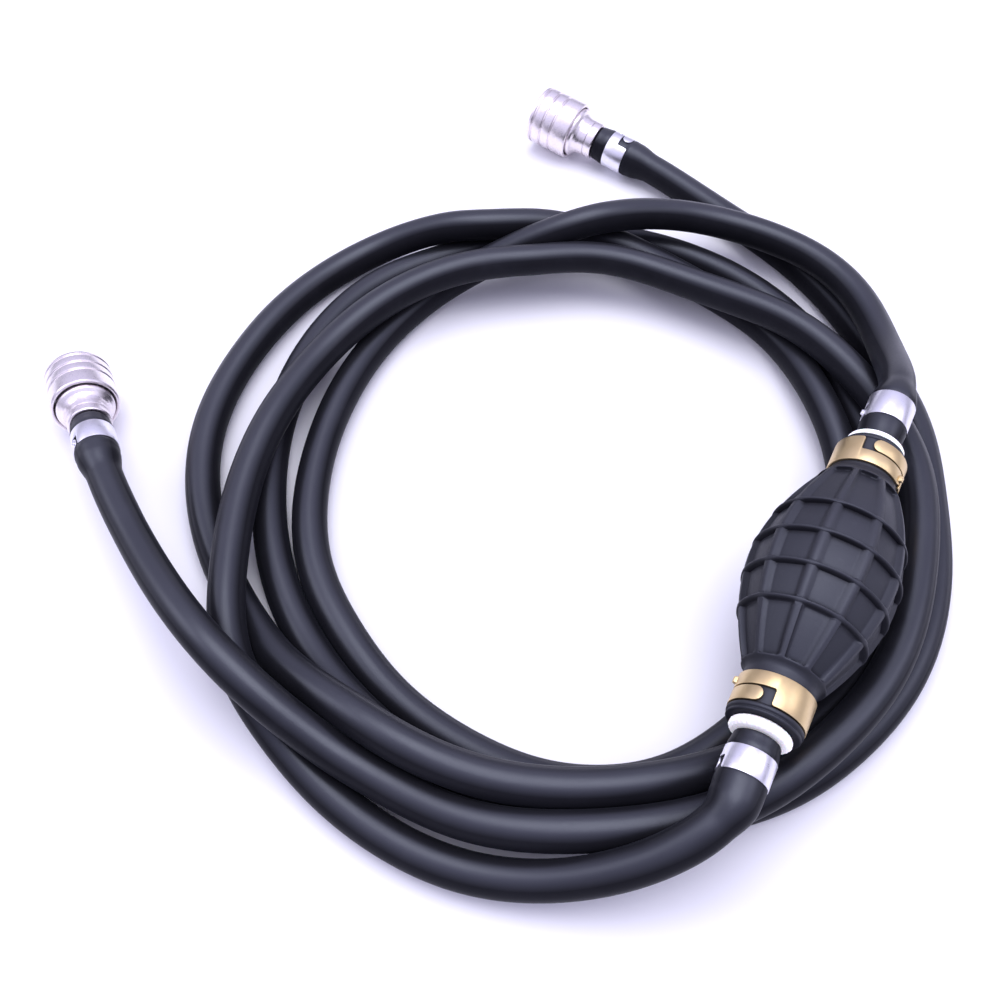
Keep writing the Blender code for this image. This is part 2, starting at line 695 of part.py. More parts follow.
def coupler_balls(name, place):
    for k in range(BALLS):
        spot = place @ polar_shift(BALL_CIRCLE_R, BALL_PITCH * k + BALL_FIRST, -BALL_DEPTH)
        bpy.ops.mesh.primitive_ico_sphere_add(subdivisions=2, radius=BALL_R * MM)
        ball = claim_primitive("%sball_%d" % (name, k + 1), spot, Matrix.Identity(4))
        for face in ball.data.polygons:
            face.use_smooth = True
        add_part(ball, BALL_STEEL)


def coupler(run, mouth, out):
    """A quick-connect coupler, local +Z out of its mouth, and the clamp on its hose."""
    place = frame_at(mouth, out)
    name = run + "_coupler_"
    coupler_body(name, place)
    coupler_balls(name, place)
    for part, finish, steps, outer, inner in COUPLER_TURNED:
        turned_behind(name + part, place, finish, steps, outer, inner)
    spring(name + "sleeve_spring", place, -16.2, -7.7, radius=8.8, wire_radius=0.38, turns=3.5)
    spring(name + "valve_spring", place, -18.5, -14.2, radius=3.1, wire_radius=0.28, turns=3.0)
    seal_ring(name + "bore_seal", place, -7.45, major=5.3, minor=0.6, around=14, section=5)
    seal_ring(name + "poppet_seal", place, -11.0, major=2.75, minor=0.45, around=12, section=4)
    clamp_place = frame_at(mouth - out * COUPLER_CLAMP_AT, out)
    band(run + "_hose_coupler_clamp", clamp_place, 0.0, COUPLER_CLAMP_WIDTH, **HOSE_BAND)


# ---- assembly ----
def build():
    line, middle = lay_line()
    line = line - PLAN_ORIGIN
    centre = BULB_CENTRE - PLAN_ORIGIN
    length = arc(line)
    bulb_at = length[middle] + float((centre - line[middle]) @ BULB_ALONG)
    hose("tank_hose", line, HOSE_START, bulb_at - INLET.hose_end)
    hose("engine_hose", line, bulb_at + OUTLET.hose_end, length[-1] - HOSE_START)

    inlet, outlet = frame_at(centre, -BULB_ALONG), frame_at(centre, BULB_ALONG)
    bulb_shell(outlet @ Matrix.Rotation(math.radians(RIB_TURN), 4, "Z"))
    bulb_side(INLET, inlet)
    bulb_side(OUTLET, outlet)
    inlet_valve(inlet)
    outlet_valve(outlet)

    coupler("tank", TANK_MOUTH - PLAN_ORIGIN, TANK_OUT)
    coupler("engine", ENGINE_MOUTH - PLAN_ORIGIN, ENGINE_OUT)


build()
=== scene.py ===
"""Siphon bulb pump, looks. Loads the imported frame, stands finished meshes in for its solids, and lights it softly on a pale floor."""

import math

import bmesh
import bpy
import numpy as np
from mathutils import Matrix, Vector


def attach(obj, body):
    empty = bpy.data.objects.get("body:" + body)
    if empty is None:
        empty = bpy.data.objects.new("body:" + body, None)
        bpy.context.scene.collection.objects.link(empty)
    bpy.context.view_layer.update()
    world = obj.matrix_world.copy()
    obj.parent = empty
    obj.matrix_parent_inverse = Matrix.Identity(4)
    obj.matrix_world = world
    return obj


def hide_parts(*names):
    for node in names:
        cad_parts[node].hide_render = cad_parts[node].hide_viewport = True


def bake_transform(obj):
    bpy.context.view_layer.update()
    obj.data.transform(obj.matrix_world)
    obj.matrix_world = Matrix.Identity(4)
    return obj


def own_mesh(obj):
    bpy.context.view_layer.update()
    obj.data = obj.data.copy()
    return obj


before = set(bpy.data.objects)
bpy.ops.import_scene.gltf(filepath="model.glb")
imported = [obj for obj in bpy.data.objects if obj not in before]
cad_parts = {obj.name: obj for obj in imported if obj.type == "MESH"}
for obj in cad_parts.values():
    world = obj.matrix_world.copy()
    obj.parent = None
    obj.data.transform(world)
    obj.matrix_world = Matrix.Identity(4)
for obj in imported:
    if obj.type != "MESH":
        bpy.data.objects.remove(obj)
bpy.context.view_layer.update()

MM = 0.001

# ---- the same dimensions and lay as the CAD, mm ----
HOSE_R = 5.5
HOSE_BARB_R = 6.75
BARB_LEN = 17.0
LAY_GAP = 0.35
BULB_C = (88.2, -49.6, 33.3)
BULB_AZ = 63.3
BULB_PITCH = 3.0
BULB_R = 20.0
BULB_FALL = 12.3
BULB_BODY = 35.6
BULB_END = 47.2
BULB_CLAMP_W = 40.2
BULB_CLAMP_LEN = 8.7
NECK_R = 9.8
RIB_TURN_DEG = -13.4
BULB_BORE = 7.3
COUPLER_R = 11.0
TANK_FRONT = (-141.6, 42.5, 10.8)
TANK_AZ, TANK_PITCH = 113.2, -10.4
ENGINE_FRONT = (15.7, 178.4, 12.8)
ENGINE_AZ, ENGINE_PITCH = 148.3, 6.3
HOSE_START = 27.3
COUPLER_CLAMP = 36.6
SHIFT = (-4.43, 28.49)
HOSE_AT_BULB = {"inlet": 50.5, "outlet": 49.7}
HOSE_CLAMPS = {"tank": (58.8, 7.0), "engine": (61.6, 9.0)}

TANK_LAY = [
    (-111, -22, 20), (-93, -49, 25), (-76, -69, 29), (-45, -90, 13), (-12, -105, 12), (23, -112, 14), (58, -106, 15), (88, -89, 17),
    (111, -64, 16), (123, -31, 16), (129, 4, 16), (117, 38, 16), (93, 65, 17), (62, 82, 16), (28, 94, 19), (-8, 88, 19),
    (-40, 71, 15), (-63, 44, 14), (-76, 10, 16), (-80, -26, 16), (-73, -61, 14), (-55, -91, 6), (-27, -113, 6), (7, -124, 8),
    (39, -116, 21),
]  # fmt: skip
ENGINE_LAY = [
    (124, 37, 23), (124, 74, 17), (101, 101, 16), (68, 113, 17), (34, 104, 25), (1, 97, 13), (-30, 80, 6), (-50, 47, 6),
    (-59, 12, 6), (-58, -24, 6), (-46, -60, 6), (-17, -89, 6), (21, -102, 6), (57, -90, 6), (83, -64, 6), (100, -32, 6),
    (110, 2, 7), (108, 40, 9), (91, 72, 6), (63, 92, 9), (31, 108, 15), (-4, 104, 16), (-37, 109, 6), (-67, 90, 6),
    (-86, 60, 6), (-96, 26, 6), (-92, -10, 6), (-77, -43, 6), (-54, -70, 14), (-26, -91, 20), (9, -104, 17), (46, -101, 16),
    (78, -86, 10), (106, -64, 6), (122, -31, 7), (124, 4, 6), (113, 39, 6), (102, 73, 6), (77, 99, 6), (44, 113, 6),
    (8, 114, 6), (-26, 103, 6), (-53, 80, 6), (-69, 47, 6), (-74, 11, 6), (-69, -24, 6), (-53, -57, 6), (-28, -83, 10),
    (3, -104, 6), (38, -107, 6), (73, -101, 6), (102, -79, 6), (122, -51, 6), (130, -17, 6), (138, 19, 6), (130, 53, 6),
    (117, 87, 6), (95, 116, 6), (69, 142, 6),
]  # fmt: skip


def unit(azimuth, pitch=0.0):
    a, p = math.radians(azimuth), math.radians(pitch)
    return np.array([math.cos(a) * math.cos(p), math.sin(a) * math.cos(p), math.sin(p)])


def spline(points, knots, at):
    """Natural cubic spline through points at knots, read at the given places."""
    n = len(knots)
    h = np.diff(knots)
    matrix = np.zeros((n, n))
    right = np.zeros((n, points.shape[1]))
    matrix[0, 0] = matrix[-1, -1] = 1.0
    for i in range(1, n - 1):
        matrix[i, i - 1], matrix[i, i], matrix[i, i + 1] = h[i - 1], 2 * (h[i - 1] + h[i]), h[i]
        right[i] = 6 * ((points[i + 1] - points[i]) / h[i] - (points[i] - points[i - 1]) / h[i - 1])
    m = np.linalg.solve(matrix, right)
    k = np.clip(np.searchsorted(knots, at, side="right") - 1, 0, n - 2)
    hk = h[k][:, None]
    a = ((knots[k + 1] - at) / h[k])[:, None]
    b = ((at - knots[k]) / h[k])[:, None]
    return a * points[k] + b * points[k + 1] + ((a**3 - a) * m[k] + (b**3 - b) * m[k + 1]) * hk**2 / 6


def arc(points):
    return np.concatenate([[0.0], np.cumsum(np.linalg.norm(np.diff(points, axis=0), axis=1))])


def bulb_radius(w):
    """Outside radius of the bulb at w from its centre."""
    w = abs(w)
    if w > BULB_BODY:
        return NECK_R
    return max(NECK_R + 0.2, BULB_R - BULB_FALL * (w / 37.0) ** 1.86)


def lay_line():
    """The whole centre line, coupler to coupler: spline through the lay, then eased apart where runs cross or touch.
    Returns points about 6 mm apart, and the index of the point nearest the bulb's centre."""
    tank, engine, along = unit(TANK_AZ, TANK_PITCH), unit(ENGINE_AZ, ENGINE_PITCH), unit(BULB_AZ, BULB_PITCH)
    a0, b0 = np.array(TANK_FRONT), np.array(ENGINE_FRONT)
    c = np.array(BULB_C)
    chain = [a0 - tank * s for s in (0, 15, 30, 44)]
    chain += [np.array(p, float) for p in TANK_LAY]
    chain += [c + along * w for w in (-66, -52, -36, -18, 0, 18, 36, 52, 69)]
    chain += [np.array(p, float) for p in ENGINE_LAY]
    chain += [b0 - engine * s for s in (44, 30, 15, 0)]
    chain = np.array(chain)
    knots = arc(chain)
    target = spline(chain, knots, np.linspace(0, knots[-1], int(knots[-1] / 1.0)))
    length = arc(target)
    count = int(round(length[-1] / 6.0))
    at = np.linspace(0, length[-1], count + 1)
    p = np.stack([np.interp(at, length, target[:, k]) for k in range(3)], -1)
    w = (p - c) @ along
    across = np.linalg.norm(p - c - w[:, None] * along, axis=1)
    on_bulb = (across < 1.5) & (w > -71) & (w < 73)
    mid = int(np.argmin(np.linalg.norm(p - c, axis=1)))
    at_tank, at_engine = at < 45, at > at[-1] - 45
    held = on_bulb | at_tank | at_engine
    p[on_bulb] = c + w[on_bulb][:, None] * along
    p[at_tank] = a0 - tank * at[at_tank][:, None]
    p[at_engine] = b0 - engine * (at[-1] - at[at_engine])[:, None]
    r = np.full(len(p), HOSE_R)
    r[(at < 48) | (at > at[-1] - 48)] = 8.0
    r[(at < 20) | (at > at[-1] - 20)] = COUPLER_R
    for i in np.nonzero(on_bulb)[0]:
        r[i] = 8.2 if abs(w[i]) > 50 else (12.0 if abs(w[i]) > 34 else bulb_radius(w[i]) + 1.5)
    goal = p.copy()
    first, second = np.nonzero(np.triu(np.linalg.norm(p[:, None] - p[None], axis=2) < 60.0, 1))
    apart = np.abs(at[first] - at[second]) > 45.0
    first, second = first[apart], second[apart]
    need = r[first] + r[second] + LAY_GAP
    free = ~held
    for step in range(420):
        bend = np.zeros_like(p)
        bend[1:-1] = (p[:-2] + p[2:]) / 2 - p[1:-1]
        stiff = np.zeros_like(p)
        stiff[1:-1] = (bend[:-2] + bend[2:]) / 2 - bend[1:-1]
        p[free] -= 0.35 * stiff[free]
        p[free, 2] += 0.05 * bend[free, 2]
        p[free] += (0.02 if step < 360 else 0.0) * (goal[free] - p[free])
        for _ in range(2 if step < 360 else 5):
            d = p[first] - p[second]
            dist = np.maximum(np.linalg.norm(d, axis=1), 1e-6)
            short = need - dist
            hit = short > 0
            push = d[hit] / dist[hit][:, None] * (short[hit] * 0.42)[:, None]
            move = np.zeros_like(p)
            times = np.zeros(len(p))
            np.add.at(move, first[hit], push)
            np.add.at(move, second[hit], -push)
            np.add.at(times, first[hit], 1)
            np.add.at(times, second[hit], 1)
            move /= np.maximum(times, 1)[:, None]
            p[free] += 1.5 * move[free]
            p[free, 2] = np.maximum(p[free, 2], r[free])
    return p, mid


def frame_at(origin, axis, up=(0, 0, 1)):
    """Local +Z along axis, local +X as near up as it gets."""
    z = Vector(axis).normalized()
    x = Vector(up) - z * z.dot(Vector(up))
    x.normalize()
    y = z.cross(x)
    m = Matrix((x, y, z)).transposed().to_4x4()
    m.translation = Vector(origin) * MM
    return m


# ------------------------------------------------------------------ materials
class Nodes:
    """A short way to wire a Principled material."""

    def __init__(self, name):
        self.m = bpy.data.materials.new(name)
        self.m.use_nodes = True
        self.t = self.m.node_tree
        self.p = self.t.nodes["Principled BSDF"]
        self.c = self.add("ShaderNodeTexCoord")

    def add(self, kind, **values):
        n = self.t.nodes.new(kind)
        for k, v in values.items():
            if hasattr(n, k) and k not in n.inputs:
                setattr(n, k, v)
            else:
                n.inputs[k].default_value = v
        return n

    def link(self, a, b):
        self.t.links.new(a, b)

    def mapping(self, source="Object", scale=(1, 1, 1)):
        m = self.add("ShaderNodeMapping")
        m.inputs["Scale"].default_value = scale
        self.link(self.c.outputs[source], m.inputs["Vector"])
        return m.outputs["Vector"]

    def noise(self, vector, scale, detail=4.0, rough=0.55, distortion=0.0):
        n = self.add("ShaderNodeTexNoise")
        n.inputs["Scale"].default_value = scale
        n.inputs["Detail"].default_value = detail
        n.inputs["Roughness"].default_value = rough
        n.inputs["Distortion"].default_value = distortion
        self.link(vector, n.inputs["Vector"])
        return n.outputs["Fac"]

    def ramp(self, value, stops):
        r = self.add("ShaderNodeValToRGB")
        e = r.color_ramp.elements
        while len(e) > 1:
            e.remove(e[-1])
        e[0].position, e[0].color = stops[0][0], (*stops[0][1], 1)
        for at, colour in stops[1:]:
            x = e.new(at)
            x.color = (*colour, 1)
        self.link(value, r.inputs["Fac"])
        return r.outputs["Color"]

    def span(self, value, low, high, from_low=0.3, from_high=0.7):
        n = self.add("ShaderNodeMapRange")
        n.inputs["From Min"].default_value = from_low
        n.inputs["From Max"].default_value = from_high
        n.inputs["To Min"].default_value = low
        n.inputs["To Max"].default_value = high
        self.link(value, n.inputs["Value"])
        return n.outputs["Result"]

    def math(self, op, a, b):
        n = self.add("ShaderNodeMath")
        n.operation = op
        for i, v in enumerate((a, b)):
            if isinstance(v, (int, float)):
                n.inputs[i].default_value = v
            else:
                self.link(v, n.inputs[i])
        return n.outputs["Value"]

    def mix(self, factor, a, b):
        n = self.add("ShaderNodeMix", data_type="RGBA")
        if isinstance(factor, (int, float)):
            n.inputs[0].default_value = factor
        else:
            self.link(factor, n.inputs[0])
        for i, v in ((6, a), (7, b)):
            if isinstance(v, tuple):
                n.inputs[i].default_value = (*v, 1)
            else:
                self.link(v, n.inputs[i])
        return n.outputs[2]

    def bump(self, height, strength, distance, under=None):
        n = self.add("ShaderNodeBump")
        n.inputs["Strength"].default_value = strength
        n.inputs["Distance"].default_value = distance
        self.link(height, n.inputs["Height"])
        if under is not None:
            self.link(under, n.inputs["Normal"])
        return n.outputs["Normal"]

    def painted_top_shine(self, reach, low, high, steep, level):
        """Painted shine: specular strong on open upper faces, dull underneath and in creases. This is a painted
        highlight from the overhead light and painted shade below and between parts.
        """
        shape = self.add("ShaderNodeNewGeometry")
        parts = self.add("ShaderNodeSeparateXYZ")
        self.link(shape.outputs["Normal"], parts.inputs[0])
        # painted highlight: the more a face points up, the more specular it gets
        up = self.span(parts.outputs["Z"], low, high, steep, level)
        # painted shade: ambient occlusion dulls the specular in creases and between parts
        shut = self.add("ShaderNodeAmbientOcclusion", samples=8)
        shut.inputs["Distance"].default_value = reach
        open_share = self.span(shut.outputs["AO"], 0.12, 1.0, 0.25, 0.95)
        return self.math("MULTIPLY", up, open_share)

    def set(self, **inputs):
        for k, v in inputs.items():
            socket = self.p.inputs[k.replace("_", " ")]
            if isinstance(v, (int, float)):
                socket.default_value = v
            elif isinstance(v, tuple):
                socket.default_value = (*v, 1)
            else:
                self.link(v, socket)
        return self.m


def hose_rubber():
    n = Nodes("hose_rubber")
    obj = n.mapping()
    streak = n.mapping("UV", (1.2, 46, 1))  # long and thin: the die's drag lines
    drag = n.noise(streak, 3.0, 3.0)
    grain = n.noise(obj, 1500, 3.0)
    cloud = n.noise(obj, 28, 4.0)
    base = n.ramp(cloud, [(0.3, (0.0075, 0.0075, 0.0095)), (0.7, (0.012, 0.012, 0.0155))])
    bloom = n.span(n.noise(obj, 60, 6.0, 0.65), 0.0, 0.10, 0.55, 0.78)
    colour = n.mix(bloom, base, (0.05, 0.05, 0.062))
    rough = n.math("ADD", n.span(cloud, 0.33, 0.42), n.span(grain, -0.03, 0.03))
    fine = n.bump(grain, 0.08, 0.00007)
    normal = n.bump(drag, 0.10, 0.00012, fine)
    # Specular level is painted light: a painted highlight on upward faces and painted shade beneath and where runs
    # crowd each other
    return n.set(
        Base_Color=colour, Roughness=rough, Normal=normal, Specular_IOR_Level=n.painted_top_shine(0.016, 0.05, 0.80, 0.64, 0.95), Specular_Tint=(0.80, 0.85, 1.0),
        Sheen_Weight=0.02, Sheen_Roughness=0.45, Sheen_Tint=(0.7, 0.78, 1.0),
    )  # fmt: skip


def bulb_rubber():
    n = Nodes("bulb_rubber")
    obj = n.mapping()
    grain = n.noise(obj, 2100, 4.0, 0.6)
    cloud = n.noise(obj, 45, 5.0)
    base = n.ramp(cloud, [(0.3, (0.0095, 0.0095, 0.012)), (0.7, (0.015, 0.015, 0.019))])
    dust = n.span(n.noise(obj, 320, 5.0, 0.7), 0.0, 0.18, 0.60, 0.80)
    colour = n.mix(dust, base, (0.055, 0.055, 0.066))
    rough = n.math("ADD", n.span(cloud, 0.46, 0.56), n.span(grain, -0.04, 0.04))
    normal = n.bump(grain, 0.20, 0.00010)
    edge = n.add("ShaderNodeNewGeometry").outputs["Pointiness"]
    colour = n.mix(n.span(edge, 0.0, 0.55, 0.515, 0.58), colour, (0.030, 0.030, 0.039))  # painted highlight: convex ridges and hoops lightened towards a paler grey
    # Specular level is painted light: a painted highlight on upward faces and painted shade in the creases beside ribs
    # and hoops
    return n.set(
        Base_Color=colour, Roughness=rough, Normal=normal, Specular_IOR_Level=n.painted_top_shine(0.0016, 0.04, 0.74, 0.05, 0.97), Specular_Tint=(0.80, 0.85, 1.0),
        Sheen_Weight=0.03, Sheen_Roughness=0.4, Sheen_Tint=(0.7, 0.78, 1.0),
    )  # fmt: skip


def metal(name, low, high, rough_low, rough_high, brush=(4, 4, 4), brush_strength=0.12, grain_scale=900, dull=(0.5, 0.45, 0.4), wear=0.12):
    """Bare or plated metal: fine brushing in UV, blotchy polish, faint tarnish."""
    n = Nodes(name)
    obj = n.mapping()
    lines = n.noise(n.mapping("UV", brush), 6.0, 4.0, 0.6)
    blotch = n.noise(obj, 140, 4.0)
    grain = n.noise(obj, grain_scale, 4.0)
    base = n.ramp(blotch, [(0.3, low), (0.7, high)])
    spots = n.span(n.noise(obj, 420, 6.0, 0.7), 0.0, wear, 0.58, 0.78)
    colour = n.mix(spots, base, dull)
    rough = n.math("ADD", n.span(lines, rough_low, rough_high), n.span(grain, -0.03, 0.03))
    fine = n.bump(grain, 0.06, 0.00003)
    normal = n.bump(lines, brush_strength, 0.00003, fine)
    return n.set(Base_Color=colour, Metallic=1.0, Roughness=rough, Normal=normal)


def nylon(name, rough):
    n = Nodes(name)
    obj = n.mapping()
    blotch = n.noise(obj, 220, 5.0)
    base = n.ramp(blotch, [(0.3, (0.90, 0.88, 0.87)), (0.7, (0.97, 0.96, 0.97))])
    grain = n.noise(obj, 1700, 4.0)
    normal = n.bump(grain, 0.5 if rough else 0.15, 0.00025 if rough else 0.00008)
    # painted glow: a faint emission makes the white nylon brighter than the lamps alone light it
    return n.set(
        Base_Color=base, Roughness=n.span(grain, 0.45, 0.62), Normal=normal, Subsurface_Weight=0.15, Subsurface_Scale=0.001,
        Emission_Color=(0.95, 0.93, 1.0), Emission_Strength=0.24,
    )  # fmt: skip


def soft(name, low, high, rough):
    n = Nodes(name)
    obj = n.mapping()
    cloud = n.noise(obj, 300, 4.0)
    grain = n.noise(obj, 2200, 3.0)
    return n.set(
        Base_Color=n.ramp(cloud, [(0.3, low), (0.7, high)]), Roughness=n.span(cloud, rough - 0.05, rough + 0.05),
        Normal=n.bump(grain, 0.15, 0.00006),
    )  # fmt: skip


M = {
    "hose": hose_rubber(),
    "bulb": bulb_rubber(),
    "brass": metal("brass_band", (0.62, 0.47, 0.25), (0.70, 0.545, 0.31), 0.32, 0.45, (60, 3, 1), 0.12, dull=(0.48, 0.32, 0.18), wear=0.10),
    "band": metal("steel_band", (0.74, 0.73, 0.80), (0.82, 0.81, 0.88), 0.27, 0.38, (50, 3, 1), 0.10, dull=(0.55, 0.54, 0.62), wear=0.08),
    "nickel": metal("nickel_plate", (0.80, 0.74, 0.765), (0.86, 0.80, 0.83), 0.25, 0.35, (3, 90, 1), 0.12, dull=(0.56, 0.48, 0.50), wear=0.08),
    "spring": metal("spring_steel", (0.55, 0.55, 0.58), (0.72, 0.72, 0.75), 0.2, 0.34, dull=(0.35, 0.33, 0.3)),
    "poppet": metal("valve_brass", (0.72, 0.53, 0.26), (0.85, 0.66, 0.36), 0.18, 0.3, (3, 80, 1), dull=(0.5, 0.33, 0.16)),
    "nylon": nylon("white_nylon", False),
    "nylon_rough": nylon("white_nylon_rough", True),
    "seal": soft("seal_rubber", (0.016, 0.016, 0.018), (0.028, 0.028, 0.030), 0.42),
    "valve": soft("valve_rubber", (0.30, 0.045, 0.035), (0.42, 0.07, 0.05), 0.5),
}


# ------------------------------------------------------------------ mesh helpers
def piece(name, mesh, look, body, nodes=(), place=None, sharp=38.0):
    """A finished mesh in the scene, on its body, standing for its CAD nodes."""
    if place is not None:
        mesh.transform(place)
    bm = bmesh.new()
    bm.from_mesh(mesh)
    bmesh.ops.remove_doubles(bm, verts=bm.verts, dist=1e-7)
    bmesh.ops.recalc_face_normals(bm, faces=bm.faces)
    limit = math.radians(sharp)
    for f in bm.faces:
        f.smooth = True
    for e in bm.edges:
        if len(e.link_faces) == 2 and e.calc_face_angle(0.0) > limit:
            e.smooth = False
    bm.to_mesh(mesh)
    bm.free()
    obj = bpy.data.objects.new(name, mesh)
    bpy.context.scene.collection.objects.link(obj)
    mesh.materials.clear()
    mesh.materials.append(M[look])
    if body:
        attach(obj, body)
    if nodes:
        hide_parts(*nodes)
    return obj


def grid_mesh(name, points, uv=None, wrap=True, close_rows=False):
    """Quads over a rows x columns x 3 array. wrap joins the last column to the first, close_rows the last row to the first."""
    rows, cols = points.shape[:2]
    i = np.arange(rows if close_rows else rows - 1)[:, None]
    j = np.arange(cols if wrap else cols - 1)[None, :]
    a = i * cols + j
    b = i * cols + (j + 1) % cols
    c = ((i + 1) % rows) * cols + (j + 1) % cols
    d = ((i + 1) % rows) * cols + j
    faces = np.stack([a, b, c, d], -1).reshape(-1, 4)
    mesh = bpy.data.meshes.new(name)
    mesh.from_pydata((points.reshape(-1, 3)).tolist(), [], faces.tolist())
    layer = mesh.uv_layers.new(name="UVMap")
    if uv is not None:
        u, v = uv  # u per row, v per column
        ui = np.broadcast_to(np.asarray(u)[:rows][i], (len(i), cols if wrap else cols - 1))
        un = np.broadcast_to(np.append(u, u[-1] + (u[-1] - u[-2]))[i + 1], ui.shape)
        vj = np.broadcast_to(np.asarray(v)[j], ui.shape)
        step = np.append(v, v[0] + 1.0)
        vn = np.broadcast_to(step[j + 1], ui.shape)
        flat = np.stack([ui, vj, ui, vn, un, vn, un, vj], -1).reshape(-1)
        layer.data.foreach_set("uv", flat.astype(np.float32))
    return mesh


def filleted(path, radius, segments=3):
    """A (z, r) path with its corners rounded, so that edges catch light."""
    out = [path[0]]
    for k in range(1, len(path) - 1):
        p0, p1, p2 = (np.array(path[k + s], float) for s in (-1, 0, 1))
        d0, d1 = p0 - p1, p2 - p1
        l0, l1 = np.linalg.norm(d0), np.linalg.norm(d1)
        if l0 < 1e-6 or l1 < 1e-6:
            continue
        cosine = float(np.clip(d0 @ d1 / (l0 * l1), -1, 1))
        turn = math.pi - math.acos(cosine)
        if turn < 0.15:
            out.append(tuple(p1))
            continue
        reach = min(radius * math.tan(turn / 2), 0.42 * l0, 0.42 * l1)
        a, b = p1 + d0 / l0 * reach, p1 + d1 / l1 * reach
        for t in np.linspace(0, 1, segments + 1):
            out.append(tuple((1 - t) ** 2 * a + 2 * t * (1 - t) * p1 + t**2 * b))
    out.append(path[-1])
    return out


def lathe(name, place, outer, inner, look, body, nodes, steps=72, fillet=0.15, wobble=None):
    """A turned piece from (z, r) lists in mm, top down. With no inner it is solid to the axis."""
    if inner is None:
        path = [(outer[0][0], 0.0)] + list(outer) + [(outer[-1][0], 0.0)]
        path = filleted(path, fillet)
    else:
        loop = list(outer) + list(inner)[::-1]
        path = filleted([loop[-1]] + loop + [loop[0]], fillet)[1:-1]
    path = np.array(path)
    theta = np.arange(steps) * 2 * math.pi / steps
    r = path[:, 1][:, None] * np.ones(steps)
    z = path[:, 0][:, None] * np.ones(steps)
    if wobble is not None:
        r, z = wobble(r, z, theta[None, :])
    pts = np.stack([r * np.cos(theta), r * np.sin(theta), z], -1) * MM
    length = arc(np.stack([path[:, 0], path[:, 1]], -1)) / 20.0
    mesh = grid_mesh(name, pts, (length, theta / (2 * math.pi)), close_rows=inner is not None)
    if inner is None:
        bm = bmesh.new()
        bm.from_mesh(mesh)
        bmesh.ops.remove_doubles(bm, verts=bm.verts, dist=1e-8)
        bm.to_mesh(mesh)
        bm.free()
    return piece(name, mesh, look, body, nodes, place)


def transported(centre, up):
    """A frame at each point of a line, carried along with the least twist."""
    tangent = np.gradient(centre, axis=0)
    tangent /= np.linalg.norm(tangent, axis=1)[:, None]
    side = np.zeros_like(centre)
    u = np.array(up, float)
    for i in range(len(centre)):
        u = u - tangent[i] * (u @ tangent[i])
        u /= np.linalg.norm(u)
        side[i] = u
    return tangent, side, np.cross(tangent, side)


def swept(centre, outer, sides, up=(0, 0, 1), shape=None):
    """Points of a tube: rows along the line, columns round it. shape(row index, angle) scales the radius."""
    tangent, a, b = transported(centre, up)
    theta = np.arange(sides) * 2 * math.pi / sides
    r = np.asarray(outer)[:, None] * np.ones(sides)
    if shape is not None:
        r = r * shape(theta)
    return centre[:, None] + r[..., None] * (np.cos(theta)[None, :, None] * a[:, None] + np.sin(theta)[None, :, None] * b[:, None])


# ------------------------------------------------------------------ the line
LINE, MID = lay_line()
LINE = LINE - np.array([SHIFT[0], SHIFT[1], 0.0])
LENGTH = arc(LINE)
ALONG = unit(BULB_AZ, BULB_PITCH)
CENTRE = np.array(BULB_C) - np.array([SHIFT[0], SHIFT[1], 0.0])
BULB_AT = LENGTH[MID] + float((CENTRE - LINE[MID]) @ ALONG)


def smooth(x):
    x = np.clip(x, 0, 1)
    return x * x * (3 - 2 * x)


def hose(name, start, end, nips, kink=None):
    """One hose: outside, both cut ends and the bore, with the swelling over the barbs and the nip under each clamp."""
    lip = [0.0, 0.12, 0.35, 0.7]
    near = np.arange(1.2, 34, 0.9)
    middle = np.linspace(start + 34.5, end - 34.5, int((end - start - 69) / 2.3))
    at = np.concatenate([start + np.array(lip), start + near, middle, end - near[::-1], end - np.array(lip)[::-1]])
    centre = spline(LINE, LENGTH, at)
    from_end = np.minimum(at - start, end - at)
    swell = 1 - smooth((from_end - BARB_LEN + 0.5) / 8.0)
    r = HOSE_R + (HOSE_BARB_R - HOSE_R) * swell
    r = r - 0.35 * (1 - smooth(from_end / 5.0))  # the mouth is not pushed past the first barb
    barbs = (from_end > 4) & (from_end < BARB_LEN)
    r = r + np.where(barbs, 0.05 * np.cos((from_end - 4.0) * 2 * math.pi / 3.6), 0.0)
    for at_end, nip, half in nips:  # squeezed under the band, proud on either side of it
        d = (at - start if at_end == 0 else end - at) - nip
        r = r - 0.28 * np.exp(-((d / half) ** 8)) + 0.16 * (np.exp(-(((d - half - 1.2) / 1.2) ** 2)) + np.exp(-(((d + half + 1.2) / 1.2) ** 2)))
    r = r - np.interp(from_end, [0, 0.12, 0.35, 0.7], [0.42, 0.22, 0.07, 0.0])
    wave = 0.045 * np.sin(at / 19.0) + 0.03 * np.sin(at / 7.3 + 1.0)
    r = r + wave * smooth((from_end - 30) / 20)

    def shape(theta):
        out = np.ones((len(at), len(theta)))
        out += 0.006 * np.sin(2 * theta[None, :] + at[:, None] / 60.0)
        if kink is not None:
            for where, length, angle, spread, depth in kink:
                d = (theta[None, :] - angle + math.pi) % (2 * math.pi) - math.pi
                out += depth * np.exp(-(((at[:, None] - where) / length) ** 2) - (d / spread) ** 2)
        return out

    outer = swept(centre, r, 40, shape=shape)
    bore = np.where(from_end < BARB_LEN + 2, 3.3, 3.05)
    some = np.unique(np.concatenate([[0], np.arange(0, len(at), 3), [len(at) - 1]]))
    inner = swept(centre[some], bore[some], 40)
    ring = np.concatenate([outer, inner[::-1]]) * MM
    along = np.concatenate([at, at[some][::-1]]) / 100.0
    mesh = grid_mesh(name, ring, (along, np.arange(40) / 40.0), close_rows=True)
    return piece(name + "_rubber", mesh, "hose", "line", [name])


